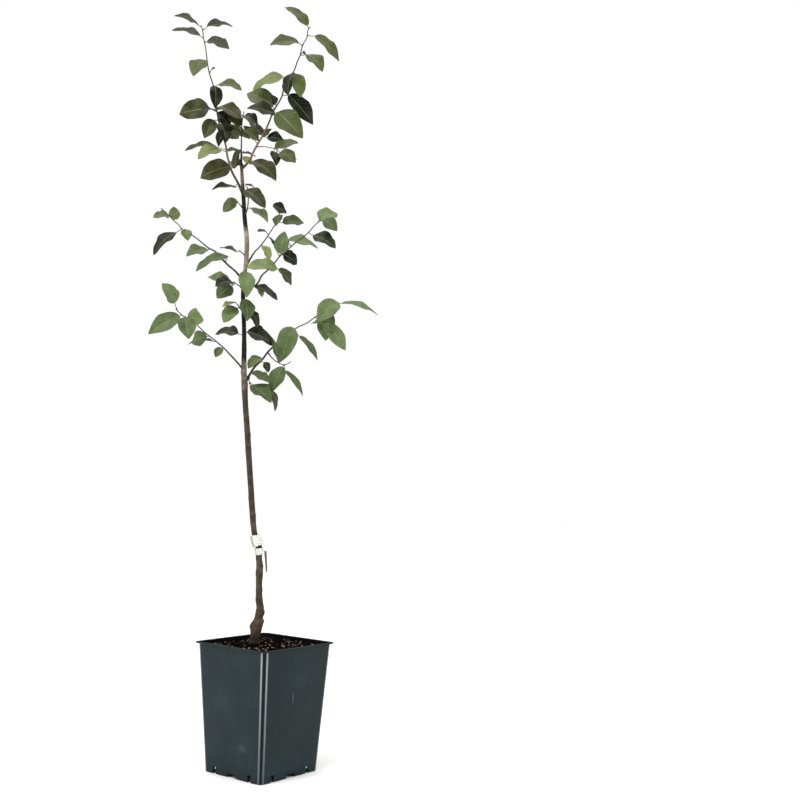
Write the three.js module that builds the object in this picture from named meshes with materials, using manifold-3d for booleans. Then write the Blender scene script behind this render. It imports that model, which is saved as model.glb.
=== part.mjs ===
// A young grafted persimmon tree in a tall square nursery pot. Millimetres, +Z up.
// The origin is the middle of the pot's underside. The pot's sides run along X and Y.
import * as THREE from 'three';
import { mergeVertices } from 'three/addons/utils/BufferGeometryUtils.js';
import Module from 'manifold-3d';

const wasm = await Module();
wasm.setup();

// Pot: a 20 cm square nursery pot
const POT_HEIGHT = 250;
const BASE_WIDTH = 158;
const WALL_TOP_WIDTH = 190;
const WALL = 2;
const CORNER_CUT = 0.039;
const LIP_OVERHANG = 4.5;
const LIP_HEIGHT = 3.5;
const FLOOR_TOP = 13;
const DRAIN_WIDTH = 8;
const DRAIN_HEIGHT = 13.5;
const DRAIN_OFFSET = 48;
const DRAIN_REACH = 14;
const NOTCH_WIDTH = 22;
const NOTCH_HEIGHT = 7;
const FOOT_RADIUS = 18;

// Soil
const SOIL_TOP = 242.5;
const SOIL_GRID = 13;
const SOIL_ROUGHNESS = 3;
const MOUND_HEIGHT = 4;
const MOUND_RADIUS = 34;

// Tree
const SEAT_GAP = 0.3;
const TRUNK_SIDES = 9;
const WRAP_SIDES = 12;
const TWIG_SIDES = 5;
const JOIN_TOLERANCE = 0.05;
const STALK_WIDTH = 1.8;
const STALK_THICKNESS = 1.5;
const STALK_RISE = 6;
const STALK_SHARE = 0.25;
const BLADE_THICKNESS = 0.8;
const BLADE_FOLD = 0.24;
const BLADE_ARCH = 0.13;
const BLADE_WAVE = 0.07;
const SHORT_BLADE = 32;

// The tree is measured in the upright plane through the pot's middle that faces an eye in front of one
// corner of the pot: X runs across, Y away from the eye and Z up. The tree's group is then turned by
// this angle to the pot's sides.
const EYE_DISTANCE = 2256;
const EYE_HEIGHT = 569;
const TREE_TURN = 45;
const AWAY = new THREE.Vector3(0, 1, 0);
const UPRIGHT = new THREE.Vector3(0, 0, 1);
const EYE = new THREE.Vector3(0, -EYE_DISTANCE, EYE_HEIGHT);

// Trunk, from the root end in the soil to the fork: [across, up, away, radius]
const TRUNK = [
  [-23, 196, 8, 7],
  [-22, 222, 9, 10.5],
  [-20.8, 240, 9, 10.8],
  [-20.6, 258, 9, 9.6],
  [-19, 270, 9, 10.6],
  [-17.6, 280, 8, 11.4],
  [-15.2, 289, 8, 10.6],
  [-14.6, 297, 8, 8.3],
  [-12.5, 307, 7, 8.6],
  [-12, 317, 7, 7.5],
  [-14.2, 336, 6, 6.7],
  [-15.8, 356, 5, 6.4],
  [-15.5, 393, 4, 6.9],
  [-17.2, 414, 4, 6.4],
  [-18.4, 436, 4, 6.4],
  [-22.5, 449, 3, 6.7],
  [-27, 460, 2, 6],
  [-29.4, 472, 1, 5.7],
  [-32.2, 494, 0, 6],
  [-38.4, 556, -1, 5.8],
  [-44.6, 620, -2, 5.9],
  [-50.6, 682, -2, 5.8],
  [-55, 724, -2, 5.7],
  [-57.4, 753, -1, 6.2],
  [-58.8, 772, -1, 5.9],
  [-60.2, 800, 0, 5.3],
  [-61.2, 843, 1, 4.8],
  [-62.5, 873, 1, 4.4],
  [-64.6, 909, 1, 4.4],
  [-67, 954, 0, 4.2],
  [-64.4, 992, 0, 4.2],
  [-62.6, 1026, 0, 4.7],
  [-63.6, 1062, -1, 4.6],
  [-68.6, 1098, -1, 4.4],
  [-73, 1145, -2, 4.1],
  [-77, 1185, -2, 3.6],
  [-79.6, 1212, -2, 3.1],
];

// Graft: the white roll round the union, the narrower wrap under it and the tail that hangs from it
const TAPE_ROLL = [
  [-21.5, 439.5, 3, 8.6],
  [-21.8, 444, 3, 11.2],
  [-22.6, 453, 3, 11.6],
  [-24.6, 460, 3, 10.4],
  [-26.6, 465.5, 2, 8.2],
];
const LOWER_WRAP = [
  [-17.7, 421.5, 4, 7.6],
  [-18, 430, 4, 8],
  [-18.4, 438.2, 4, 7.7],
];
const TIE_HEAD = [-4.6, 431, 2];
const TIE_LENGTH = 43;
const TIE_WIDTH = 5.4;
const TIE_THICKNESS = 1.2;
const TIE_LEAN = 0.09;

// Leafy shoots. A stem goes from its first radius to its second through points [across, up, away].
// A leaf is [foot across, foot up, tip across, tip up, away, width, turn]: how far the tip lies behind
// the stem, the blade's width, and how its upper side stands: 0 faces the eye and 90 the sky.
const SHOOTS = {
  left_leader: {
    stems: [[3, 1, [
      [-73.5, 1150, -2], [-86, 1175, 6], [-98, 1196, 12], [-104, 1213, 16], [-109, 1231, 20],
      [-113, 1252, 24], [-119, 1268, 27], [-126, 1290, 30], [-131, 1312, 33], [-136, 1336, 36],
      [-139, 1355, 38], [-142.5, 1375, 40], [-148, 1390, 41], [-153, 1407, 42], [-155, 1418, 43],
      [-160.5, 1452, 44], [-165, 1471, 45], [-167.6, 1487, 45], [-171, 1497, 46],
    ]]],
    leaves: [
      [-176, 1497, -226, 1513, 25, 26, 112],
      [-172, 1473, -230, 1479, -12, 28, 110],
      [-159, 1494, -107, 1496, -15, 28, 112],
      [-157, 1465, -114, 1450, 30, 36, 124],
      [-163, 1423, -183, 1391, -30, 36, 35],
      [-147, 1407, -139, 1410, -6, 7, 60],
      [-131, 1377, -84, 1367, -30, 30, 60],
      [-137, 1372, -139, 1326, -22, 30, 20],
      [-149, 1326, -208, 1309, 22, 42, 28],
      [-128, 1330, -84, 1306, -38, 42, 55],
      [-141, 1323, -163, 1319, -32, 28, 65],
      [-140, 1302, -156, 1262, -12, 28, 15],
      [-124, 1294, -112, 1256, -28, 30, 25],
      [-116, 1288, -86, 1266, 24, 28, 30],
      [-128, 1247, -193, 1237, 30, 30, 108],
      [-123, 1241, -167, 1218, -32, 36, 55],
      [-102, 1202, -159, 1175, 15, 40, 25],
      [-89, 1164, -137, 1156, -28, 28, 74],
      [-131, 1318, -104, 1288, 14, 30, 40],
    ],
  },
  right_leader: {
    stems: [[3, 1, [
      [-79, 1203, -2], [-70, 1212, -6], [-62, 1224, -10], [-57, 1237, -14], [-51, 1250, -18],
      [-45, 1262, -22], [-37, 1277, -26], [-31, 1291, -30], [-25, 1307, -33], [-20, 1322, -36],
      [-13, 1337, -39], [-3, 1356, -42], [2, 1376, -45], [8, 1395, -47], [20, 1412, -50],
      [28, 1436, -53], [33, 1449, -55], [36.5, 1466, -57], [40, 1476, -58], [45.7, 1487, -60],
      [48, 1504, -62], [52, 1511, -63],
    ]], [1.3, 0.9, [[-51, 1250, -18], [-35, 1252, -24], [-20, 1250, -30], [-6, 1248, -34]]]],
    leaves: [
      [46, 1512, -2, 1548, 20, 34, 50],
      [29, 1475, -30, 1464, -25, 32, 55],
      [61, 1491, 113, 1440, 25, 32, 128],
      [50, 1448, 80, 1416, -25, 32, 45],
      [38, 1456, 45, 1450, 10, 9, 60],
      [0, 1401, -60, 1375, 25, 30, 118],
      [-19, 1337, -73, 1361, 45, 38, 30],
      [-14, 1342, -24, 1361, -20, 14, 30],
      [19, 1410, 11, 1362, -18, 30, 50],
      [23, 1409, 44, 1360, 5, 34, 25],
      [12, 1364, 64, 1304, 28, 38, 35],
      [-9, 1326, 44, 1274, -28, 44, 20],
      [-14, 1320, -72, 1330, -10, 34, 56],
      [-29, 1272, 4, 1268, -8, 24, 40],
      [-12, 1250, 35, 1265, 30, 26, 52],
      [-4, 1245, 30, 1227, -20, 30, 35],
      [-14, 1243, -9, 1213, -24, 20, 30],
      [-46, 1265, -78, 1283, -20, 28, 50],
      [-54, 1222, -7, 1184, -25, 38, 42],
      [-40, 1276, -66, 1292, 40, 22, 45],
    ],
  },
  central_leader: {
    stems: [[2.3, 0.9, [
      [-79.6, 1205, -2], [-80.5, 1235, -1], [-81, 1263, 0], [-81, 1298, 1], [-78, 1323, 2],
    ]]],
    leaves: [
      [-75, 1316, -47, 1292, 20, 30, 118],
      [-84, 1316, -52, 1277, -22, 26, 70],
      [-78, 1236, -51, 1229, 22, 20, 86],
      [-84, 1243, -91, 1205, -16, 18, 45],
    ],
  },
  upper_right_spur: {
    stems: [[1.8, 1, [
      [-69.5, 1105, -1], [-65, 1118, -8], [-63, 1136, -13], [-64, 1156, -16], [-65, 1164, -17],
    ]]],
    leaves: [
      [-59, 1123, -22, 1095, -28, 30, 62],
      [-70, 1160, -28, 1124, -22, 36, 45],
      [-70, 1170, -50, 1165, 12, 14, 80],
    ],
  },
  upper_left_spur: {
    stems: [[1.6, 1, [[-71, 1118, -1], [-79, 1128, 8], [-86, 1134, 14]]]],
    leaves: [
      [-90, 1137, -114, 1108, 18, 28, 25],
    ],
  },
  inner_right_branch: {
    stems: [[2, 1, [
      [-62, 1004, 0], [-46, 1033, 12], [-38, 1042, 17], [-24, 1062, 26], [-10, 1086, 36],
      [1, 1106, 44], [-1, 1120, 48],
    ]]],
    leaves: [
      [-13, 1130, 13, 1118, 20, 24, 50],
      [4, 1112, -5, 1088, -18, 20, 40],
      [8, 1101, 51, 1102, 18, 32, 52],
      [-24, 1075, -43, 1075, -14, 14, 70],
      [-29, 1046, -17, 1016, -16, 20, 40],
    ],
  },
  middle_right_branch: {
    stems: [[2.4, 1, [
      [-66, 943, 0], [-52, 957, -8], [-38, 969, -16], [-31, 984, -22], [-15, 1000, -32],
      [-4, 1014, -40], [4, 1025, -45], [18, 1038, -54], [35, 1055, -65], [53, 1070, -76],
      [61, 1078, -81], [74, 1094, -90], [85, 1105, -96],
    ]]],
    leaves: [
      [0, 1001, -62, 999, -20, 34, 50],
      [5, 1031, 12, 1078, -12, 30, 15],
      [-5, 1044, -21, 1066, 8, 10, 60],
      [20, 1063, 82, 1052, 20, 30, 118],
      [10, 1030, 38, 1013, 20, 28, 40],
      [1, 999, 28, 966, 18, 28, 125],
      [70, 1073, 114, 1050, -20, 34, 50],
      [83, 1104, 119, 1121, 25, 38, 135],
      [90, 1105, 115, 1082, -15, 30, 25],
      [-45, 963, 3, 935, -20, 28, 62],
      [-34, 960, -28, 940, -14, 12, 20],
    ],
  },
  middle_left_branch: {
    stems: [[2.6, 1, [
      [-66, 970, 0], [-83, 990, 12], [-99, 1003, 22], [-112, 1015, 31], [-125, 1029, 40],
      [-139, 1036, 50], [-150, 1044, 58], [-160, 1052, 65], [-170, 1059, 72], [-194, 1073, 88],
      [-200, 1080, 92], [-213, 1091, 100], [-225, 1103, 108], [-237, 1113, 114],
    ]]],
    leaves: [
      [-220, 1098, -252, 1093, -15, 26, 110],
      [-223, 1106, -199, 1105, 20, 26, 20],
      [-205, 1066, -248, 1018, -25, 30, 55],
      [-190, 1072, -183, 1049, -10, 20, 15],
      [-140, 1033, -180, 1020, -30, 32, 55],
      [-97, 1020, -160, 987, -25, 32, 62],
    ],
  },
  middle_left_spur: {
    stems: [[2, 1, [[-66.5, 955, 0], [-76, 962, -10], [-86, 968, -18]]]],
    leaves: [
      [-90, 970, -123, 958, -26, 30, 50],
      [-95, 975, -137, 981, 14, 28, 55],
      [-90, 961, -119, 934, -3, 32, 25],
    ],
  },
  left_twig: {
    stems: [[1.6, 1, [[-63, 1022, 0], [-71, 1029, -7], [-78, 1034, -11]]]],
    leaves: [
      [-83, 1031, -118, 1037, -15, 24, 100],
    ],
  },
  front_spur: {
    stems: [[1.7, 1, [[-64.5, 984, 0], [-64, 992, -8], [-63, 997, -14]]]],
    leaves: [
      [-62, 991, -60, 938, -36, 30, 15],
    ],
  },
  lower_front_spur: {
    stems: [[1.8, 1, [[-65, 918, 0], [-63, 926, -9], [-60, 935, -16]]]],
    leaves: [
      [-62, 935, -57, 890, -16, 32, 25],
      [-50, 912, -35, 877, 8, 20, 40],
    ],
  },
  lower_left_spur: {
    stems: [[1.6, 1, [[-64.5, 908, 0], [-71, 914, -5], [-77, 922, -9]]]],
    leaves: [
      [-79, 917, -104, 885, -10, 30, 30],
      [-80, 927, -108, 916, -18, 18, 70],
    ],
  },
  lower_back_spur: {
    stems: [[1.8, 1, [[-62, 852, 0], [-63, 860, 9], [-65, 866, 15]]]],
    leaves: [
      [-74, 862, -120, 859, 20, 32, 114],
      [-57, 866, -7, 844, 15, 34, 130],
    ],
  },
  lower_left_branch: {
    stems: [[2.6, 1, [
      [-60, 790, 0], [-67, 798, -5], [-81, 813, -14], [-90, 822, -22], [-101, 833, -31],
      [-122, 850, -47], [-140, 863, -61], [-159, 880, -76], [-187, 897, -92], [-200, 909, -102],
    ]]],
    leaves: [
      [-200, 921, -227, 959, -15, 32, 15],
      [-192, 896, -252, 856, -18, 36, 25],
      [-181, 893, -172, 849, -20, 32, 15],
      [-176, 893, -144, 888, 21, 32, 34],
      [-136, 856, -165, 840, 15, 30, 35],
      [-124, 847, -173, 838, 22, 24, 95],
      [-106, 834, -118, 814, -10, 16, 20],
    ],
  },
  lower_right_branch: {
    stems: [[3, 1, [
      [-58, 762, -1], [-48, 782, 10], [-39, 797, 18], [-24, 813, 28], [-14, 828, 35],
      [0, 843, 43], [14, 857, 51], [30, 870, 60], [46, 882, 68], [65, 892, 77],
      [85, 908, 87], [108, 921, 97], [120, 929, 102], [127, 936, 106],
    ]], [1.4, 0.9, [[-14, 828, 35], [-2, 815, 28], [10, 807, 22], [21, 804, 17], [34, 811, 12]]],
    [1.3, 0.9, [[-48, 782, 10], [-49, 772, 3], [-48, 762, -2]]]],
    leaves: [
      [-27, 818, -52, 794, -18, 24, 40],
      [-20, 808, -11, 787, 10, 16, 35],
      [-45, 783, -8, 762, -22, 28, 55],
      [-45, 757, -3, 724, -22, 38, 50],
      [17, 802, -5, 748, -12, 30, 25],
      [25, 797, 61, 745, 15, 24, 80],
      [-1, 784, 10, 709, 16, 20, 72],
      [8, 810, -12, 862, 10, 26, 60],
      [33, 881, 13, 808, -25, 44, 12],
      [0, 848, 10, 815, 12, 24, 40],
      [51, 864, 90, 817, 18, 22, 78],
      [122, 936, 82, 893, -34, 46, 20],
      [92, 893, 72, 890, 10, 14, 70],
      [134, 933, 209, 911, 20, 26, 105],
      [110, 914, 103, 856, 8, 36, 20],
      [103, 893, 146, 840, 26, 32, 30],
    ],
  },
};

function material(hex, roughness) {
  return new THREE.MeshStandardMaterial({ color: hex, roughness, metalness: 0 });
}

const PLASTIC = material(0x3a4446, 0.5);
const POTTING_SOIL = material(0x3a2c22, 0.95);
const BARK = material(0x5b4b42, 0.85);
const WHITE_TAPE = material(0xf0efe6, 0.45);
const GREY_TIE = material(0x4c4f50, 0.5);
const LEAF = material(0x5f7f4a, 0.45);

// A closed surface as a solid that can be joined and cut
function solid(geometry) {
  const bare = new THREE.BufferGeometry();
  bare.setAttribute('position', geometry.getAttribute('position').clone());
  if (geometry.index) bare.setIndex(geometry.index.clone());
  const merged = mergeVertices(bare, 1e-5);
  return new wasm.Manifold(new wasm.Mesh({
    numProp: 3,
    vertProperties: new Float32Array(merged.attributes.position.array),
    triVerts: new Uint32Array(merged.index.array),
  }));
}

function mesh(name, body, look) {
  const { vertProperties, triVerts } = body.getMesh();
  const geometry = new THREE.BufferGeometry();
  geometry.setAttribute('position', new THREE.BufferAttribute(vertProperties, 3));
  geometry.setIndex(new THREE.BufferAttribute(triVerts, 1));
  geometry.computeVertexNormals();
  const piece = new THREE.Mesh(geometry, look);
  piece.name = name;
  return piece;
}

function reshape(geometry, move) {
  const position = geometry.getAttribute('position');
  const point = new THREE.Vector3();
  for (let i = 0; i < position.count; i += 1) {
    point.fromBufferAttribute(position, i);
    move(point);
    position.setXYZ(i, point.x, point.y, point.z);
  }
  return geometry;
}

// Draws that come out the same each time
function seededDraws(seed) {
  let state = seed;
  return () => {
    state = (state * 1664525 + 1013904223) % 4294967296;
    return state / 4294967296;
  };
}

// A place in the measured plane, carried back by `away` along the eye's line of sight
function place([across, up, away]) {
  const spread = 1 + away / EYE_DISTANCE;
  return new THREE.Vector3(across * spread, away, EYE_HEIGHT + (up - EYE_HEIGHT) * spread);
}

// Pot

const lipWidth = WALL_TOP_WIDTH + 2 * LIP_OVERHANG;

function potWidth(height) {
  return THREE.MathUtils.lerp(BASE_WIDTH, WALL_TOP_WIDTH, height / POT_HEIGHT);
}

// A square block with cut corners that widens from its low end to its high end
function taperedBlock(lowWidth, highWidth, low, high) {
  const flat = 1 - 2 * CORNER_CUT;
  const outline = new THREE.Shape([
    new THREE.Vector2(flat, -1), new THREE.Vector2(1, -flat),
    new THREE.Vector2(1, flat), new THREE.Vector2(flat, 1),
    new THREE.Vector2(-flat, 1), new THREE.Vector2(-1, flat),
    new THREE.Vector2(-1, -flat), new THREE.Vector2(-flat, -1),
  ]);
  const block = new THREE.ExtrudeGeometry(outline, { depth: 1, bevelEnabled: false });
  return reshape(block, (point) => {
    const half = THREE.MathUtils.lerp(lowWidth, highWidth, point.z) / 2;
    point.set(point.x * half, point.y * half, THREE.MathUtils.lerp(low, high, point.z));
  });
}

function hollow(low, high, inset) {
  return taperedBlock(potWidth(low) - 2 * inset, potWidth(high) - 2 * inset, low, high);
}

function makePot() {
  const floorUnderside = FLOOR_TOP - WALL;
  const foot = new THREE.CylinderGeometry(FOOT_RADIUS, FOOT_RADIUS, FLOOR_TOP - 1, 24);
  foot.rotateX(Math.PI / 2).translate(0, 0, (FLOOR_TOP - 1) / 2);
  let pot = solid(hollow(0, POT_HEIGHT, 0))
    .add(solid(taperedBlock(lipWidth, lipWidth, POT_HEIGHT - LIP_HEIGHT, POT_HEIGHT)))
    .subtract(solid(hollow(FLOOR_TOP, POT_HEIGHT + 1, WALL)))
    .subtract(solid(hollow(-1, floorUnderside, WALL)))
    .add(solid(foot));
  for (let side = 0; side < 4; side += 1) {
    const cuts = [-DRAIN_OFFSET, DRAIN_OFFSET].map((offset) => {
      const drain = new THREE.BoxGeometry(DRAIN_WIDTH, 2 * DRAIN_REACH, 2 * DRAIN_HEIGHT);
      return drain.translate(offset, -BASE_WIDTH / 2, 0);
    });
    const notch = new THREE.BoxGeometry(NOTCH_WIDTH, 2 * DRAIN_REACH, 2 * NOTCH_HEIGHT);
    cuts.push(notch.translate(0, -BASE_WIDTH / 2, 0));
    for (const cut of cuts) {
      pot = pot.subtract(solid(cut.rotateZ((side * Math.PI) / 2)));
    }
  }
  return mesh('pot', pot, PLASTIC);
}

// Limbs: a tube with closed ends through a row of points, each with its own radius, made larger all
// round by `extra`

function limb(points, radii, sides, extra = 0) {
  const last = points.length - 1;
  const tube = new THREE.CylinderGeometry(1, 1, 1, sides, last);
  return reshape(tube, (point) => {
    const i = Math.round((point.y + 0.5) * last);
    const along = points[Math.min(i + 1, last)].clone().sub(points[Math.max(i - 1, 0)]).normalize();
    const back = AWAY.clone().addScaledVector(along, -AWAY.dot(along)).normalize();
    const beside = along.clone().cross(back);
    const radius = radii[i] + extra;
    const past = extra * ((i === last) - (i === 0));
    const { x, z } = point;
    point.copy(points[i]).addScaledVector(along, past);
    point.addScaledVector(beside, x * radius).addScaledVector(back, z * radius);
  });
}

function bareLimb(stations, sides, extra = 0) {
  return limb(stations.map(place), stations.map((station) => station[3]), sides, extra);
}

// Leaf blades

// Share of the half width at `t` along the blade: broad below the middle, drawn out to the tip
function bladeOutline(t) {
  return Math.max(0.03, 2.744 * t ** 0.6 * (1 - t) ** 0.9);
}

// Two like sheets, the second lying under the first, closed by walls round their border
function thicken(upper, lower) {
  const count = upper.getAttribute('position').count;
  const points = [];
  for (const sheet of [upper, lower]) {
    for (let i = 0; i < count; i += 1) {
      points.push(new THREE.Vector3().fromBufferAttribute(sheet.getAttribute('position'), i));
    }
  }
  const faces = [];
  const edges = new Set();
  for (let i = 0; i < upper.index.count; i += 3) {
    const [a, b, c] = [0, 1, 2].map((k) => upper.index.getX(i + k));
    faces.push(a, b, c, a + count, c + count, b + count);
    edges.add(`${a},${b}`).add(`${b},${c}`).add(`${c},${a}`);
  }
  for (const edge of edges) {
    const [a, b] = edge.split(',').map(Number);
    if (!edges.has(`${b},${a}`)) faces.push(b, a, a + count, b, a + count, b + count);
  }
  return new THREE.BufferGeometry().setFromPoints(points).setIndex(faces);
}

// A blade on its stalk, as one strip of sheet: the first row lies in the stem at `root`, the second is
// the blade's foot, and the blade turns from the stalk's direction to its own there
function leaf(root, foot, tip, width, turn, number) {
  const length = foot.distanceTo(tip);
  const axis = tip.clone().sub(foot).normalize();
  const facing = EYE.clone().sub(foot);
  facing.addScaledVector(axis, -facing.dot(axis)).normalize();
  const skyward = facing.clone().cross(axis);
  if (skyward.z < 0) skyward.negate();
  const angle = THREE.MathUtils.degToRad(turn);
  const normal = facing.multiplyScalar(Math.cos(angle)).addScaledVector(skyward, Math.sin(angle));
  const side = axis.clone().cross(normal);

  const stalk = foot.clone().sub(root).normalize();
  const bend = new THREE.Quaternion().setFromUnitVectors(axis, stalk);
  const straight = new THREE.Quaternion();
  const turns = [bend, straight.clone().slerp(bend, 0.5)];
  const rows = 1 + (length < SHORT_BLADE ? 4 : 5);
  const sheet = (sunk) => reshape(new THREE.PlaneGeometry(2, rows, 2, rows), (point) => {
    const row = Math.round(point.y + rows / 2);
    const t = Math.max(0, (row - 1) / (rows - 1));
    const onStalk = row < 2;
    const frame = turns[row] ?? straight;
    const reach = point.x * (onStalk ? STALK_WIDTH : width * bladeOutline(t)) / 2;
    const wave = BLADE_WAVE * reach * Math.sin(9.5 * t + 2.4 * number);
    const drop = sunk * (onStalk ? STALK_THICKNESS : BLADE_THICKNESS);
    const lift = BLADE_FOLD * Math.abs(reach) + 2 * wave - drop;
    point.copy(row === 0 ? root : foot).addScaledVector(axis, length * t);
    point.addScaledVector(normal, BLADE_ARCH * length * 4 * t * (1 - t));
    point.addScaledVector(side.clone().applyQuaternion(frame), reach);
    point.addScaledVector(normal.clone().applyQuaternion(frame), lift);
  });
  return thicken(sheet(0), sheet(1));
}

// The stem point that a leaf's stalk leaves: nearest to just under the leaf's foot, and past the first
// stretch, which is in the trunk
function stalkStart(stems, footAcross, footUp) {
  const underFoot = new THREE.Vector2(footAcross, footUp - STALK_RISE);
  let best = null;
  for (const [, , points] of stems) {
    for (let i = 1; i + 1 < points.length; i += 1) {
      for (let share = 0; share < 1; share += 0.25) {
        const point = points[i].map((value, k) => THREE.MathUtils.lerp(value, points[i + 1][k], share));
        const gap = underFoot.distanceTo(new THREE.Vector2(point[0], point[1]));
        if (!best || gap < best.gap) best = { gap, point };
      }
    }
  }
  return best.point;
}

function makeShoot(name, { stems, leaves }, fatTrunk) {
  const parts = stems.map(([thick, thin, points]) => {
    const radii = points.map((_, i) => THREE.MathUtils.lerp(thick, thin, i / (points.length - 1)));
    return solid(limb(points.map(place), radii, TWIG_SIDES));
  });
  leaves.forEach(([footAcross, footUp, tipAcross, tipUp, away, width, turn], number) => {
    const start = stalkStart(stems, footAcross, footUp);
    const foot = place([footAcross, footUp, start[2] + STALK_SHARE * away]);
    const tip = place([tipAcross, tipUp, start[2] + away]);
    parts.push(solid(leaf(place(start), foot, tip, width, turn, number)));
  });
  const shoot = wasm.Manifold.union(parts).subtract(fatTrunk).simplify(JOIN_TOLERANCE);
  return mesh(name, shoot, LEAF);
}

// Soil

function makeSoil(fatTrunk) {
  const draw = seededDraws(7);
  const thickness = POT_HEIGHT;
  const slab = new THREE.BoxGeometry(lipWidth, lipWidth, thickness, SOIL_GRID, SOIL_GRID, 1);
  const stem = place(TRUNK[2]).applyAxisAngle(UPRIGHT, THREE.MathUtils.degToRad(TREE_TURN));
  const heights = new Map();
  reshape(slab, (point) => {
    if (point.z > 0) {
      const key = `${point.x.toFixed(1)},${point.y.toFixed(1)}`;
      if (!heights.has(key)) heights.set(key, SOIL_ROUGHNESS * (draw() - 0.5));
      const fromStem = Math.hypot(point.x - stem.x, point.y - stem.y) / MOUND_RADIUS;
      point.z = SOIL_TOP + heights.get(key) + MOUND_HEIGHT * Math.exp(-fromStem * fromStem);
    } else {
      point.z = SOIL_TOP - thickness;
    }
  });
  const filled = solid(hollow(FLOOR_TOP + SEAT_GAP, POT_HEIGHT - 2, WALL + SEAT_GAP));
  const soil = solid(slab).intersect(filled).subtract(fatTrunk.rotate([0, 0, TREE_TURN]));
  return mesh('soil', soil, POTTING_SOIL);
}

// Graft

function makeWrap(name, stations, fatTrunk) {
  return mesh(name, solid(bareLimb(stations, WRAP_SIDES)).subtract(fatTrunk), WHITE_TAPE);
}

function makeTie(fatWrap) {
  const half = TIE_WIDTH / 2;
  const outline = new THREE.Shape([
    new THREE.Vector2(-half, 1), new THREE.Vector2(-half, -5),
    new THREE.Vector2(-0.4, -TIE_LENGTH), new THREE.Vector2(0.4, -TIE_LENGTH),
    new THREE.Vector2(half, -7), new THREE.Vector2(half, 1),
  ]);
  const tail = new THREE.ExtrudeGeometry(outline, { depth: TIE_THICKNESS, bevelEnabled: false });
  const head = place(TIE_HEAD);
  reshape(tail, (point) => {
    const { x, y, z } = point;
    point.set(head.x + x - TIE_LEAN * y, head.y - z, head.z + y);
  });
  const [headAcross, headUp, headAway] = TIE_HEAD;
  const [wrapAcross, , wrapAway] = LOWER_WRAP[1];
  const strand = limb([
    place([wrapAcross, headUp - 1, wrapAway]),
    place([headAcross - 3, headUp - 0.5, headAway]),
    place([headAcross + 1, headUp - 1, headAway - TIE_THICKNESS / 2]),
  ], [1, 1, 0.9], 6);
  const tie = solid(tail).add(solid(strand)).subtract(fatWrap);
  return mesh('graft_tie', tie, GREY_TIE);
}

const fatTrunk = solid(bareLimb(TRUNK, TRUNK_SIDES, SEAT_GAP));
const fatWrap = solid(bareLimb(LOWER_WRAP, WRAP_SIDES, SEAT_GAP));

const container = new THREE.Group();
container.add(makePot(), makeSoil(fatTrunk));

const tree = new THREE.Group();
tree.rotation.z = THREE.MathUtils.degToRad(TREE_TURN);
tree.add(mesh('trunk', solid(bareLimb(TRUNK, TRUNK_SIDES)), BARK));
tree.add(makeWrap('graft_tape', TAPE_ROLL, fatTrunk));
tree.add(makeWrap('lower_wrap', LOWER_WRAP, fatTrunk));
tree.add(makeTie(fatWrap));
for (const [name, shoot] of Object.entries(SHOOTS)) {
  tree.add(makeShoot(name, shoot, fatTrunk));
}

const sapling = new THREE.Group();
sapling.add(container, tree);

export default sapling;
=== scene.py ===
# %% [markdown]
# # A grafted persimmon sapling in its nursery pot
# A nursery sells young fruit trees like this one: a slim stem of one or two years, grafted low down
# on a stronger root, with its leaves on short side shoots, in a tall square plastic pot. The packed
# model already has every part in its place, so this script only has to dress it. It loads that
# frame first and keeps the frame's box, because nothing may grow out of it.

# %% Load the frame
import math
import random

import bmesh
import bpy
from mathutils import Matrix, Vector, noise


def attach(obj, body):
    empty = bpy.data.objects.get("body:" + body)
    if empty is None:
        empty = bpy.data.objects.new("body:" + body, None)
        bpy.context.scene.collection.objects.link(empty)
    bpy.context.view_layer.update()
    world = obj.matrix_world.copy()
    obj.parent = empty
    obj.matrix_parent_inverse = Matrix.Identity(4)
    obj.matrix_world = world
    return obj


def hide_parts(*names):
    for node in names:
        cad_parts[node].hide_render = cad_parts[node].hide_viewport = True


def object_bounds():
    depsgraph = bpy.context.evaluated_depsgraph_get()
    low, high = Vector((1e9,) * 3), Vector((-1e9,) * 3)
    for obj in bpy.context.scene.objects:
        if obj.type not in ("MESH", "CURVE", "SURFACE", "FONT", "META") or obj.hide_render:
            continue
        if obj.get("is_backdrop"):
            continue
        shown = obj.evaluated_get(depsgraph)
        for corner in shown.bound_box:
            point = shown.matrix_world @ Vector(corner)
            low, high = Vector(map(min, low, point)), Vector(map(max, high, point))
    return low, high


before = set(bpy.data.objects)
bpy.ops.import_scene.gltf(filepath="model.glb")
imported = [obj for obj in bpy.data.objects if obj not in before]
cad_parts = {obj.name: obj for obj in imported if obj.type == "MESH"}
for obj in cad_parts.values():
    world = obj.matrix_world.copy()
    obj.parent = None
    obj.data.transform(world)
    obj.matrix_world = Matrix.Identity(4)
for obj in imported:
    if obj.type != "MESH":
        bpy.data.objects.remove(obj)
cad_low, cad_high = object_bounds()
print("nodes:", len(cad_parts), "box:", [round(b - a, 3) for a, b in zip(cad_low, cad_high)])

# %% [markdown]
# ## Measuring on the picture's plane
# A tree grows where it likes, so its points can't be worked out from sizes. They were read off
# the photograph instead, in the upright plane through the pot's middle that faces the camera:
# how far across, how high up, and how far behind that plane, all in millimetres. One function turns
# a reading into a place, and one matrix turns the whole plane by 45 degrees to the pot's sides and
# brings it to metres.

# %% Measuring helpers
EYE = Vector((0.0, -2256.0, 569.0))
MM = 0.001
TO_METRES = Matrix.Scale(MM, 4)
TREE = Matrix.Rotation(math.radians(45), 4, "Z") @ TO_METRES


def place(across, up, away):
    """A point read in the picture's plane, carried back along the line of sight."""
    spread = 1 + away / -EYE.y
    return Vector((across * spread, away, EYE.z + (up - EYE.z) * spread))


print("eye in metres:", [round(x, 3) for x in TREE @ EYE])

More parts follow.
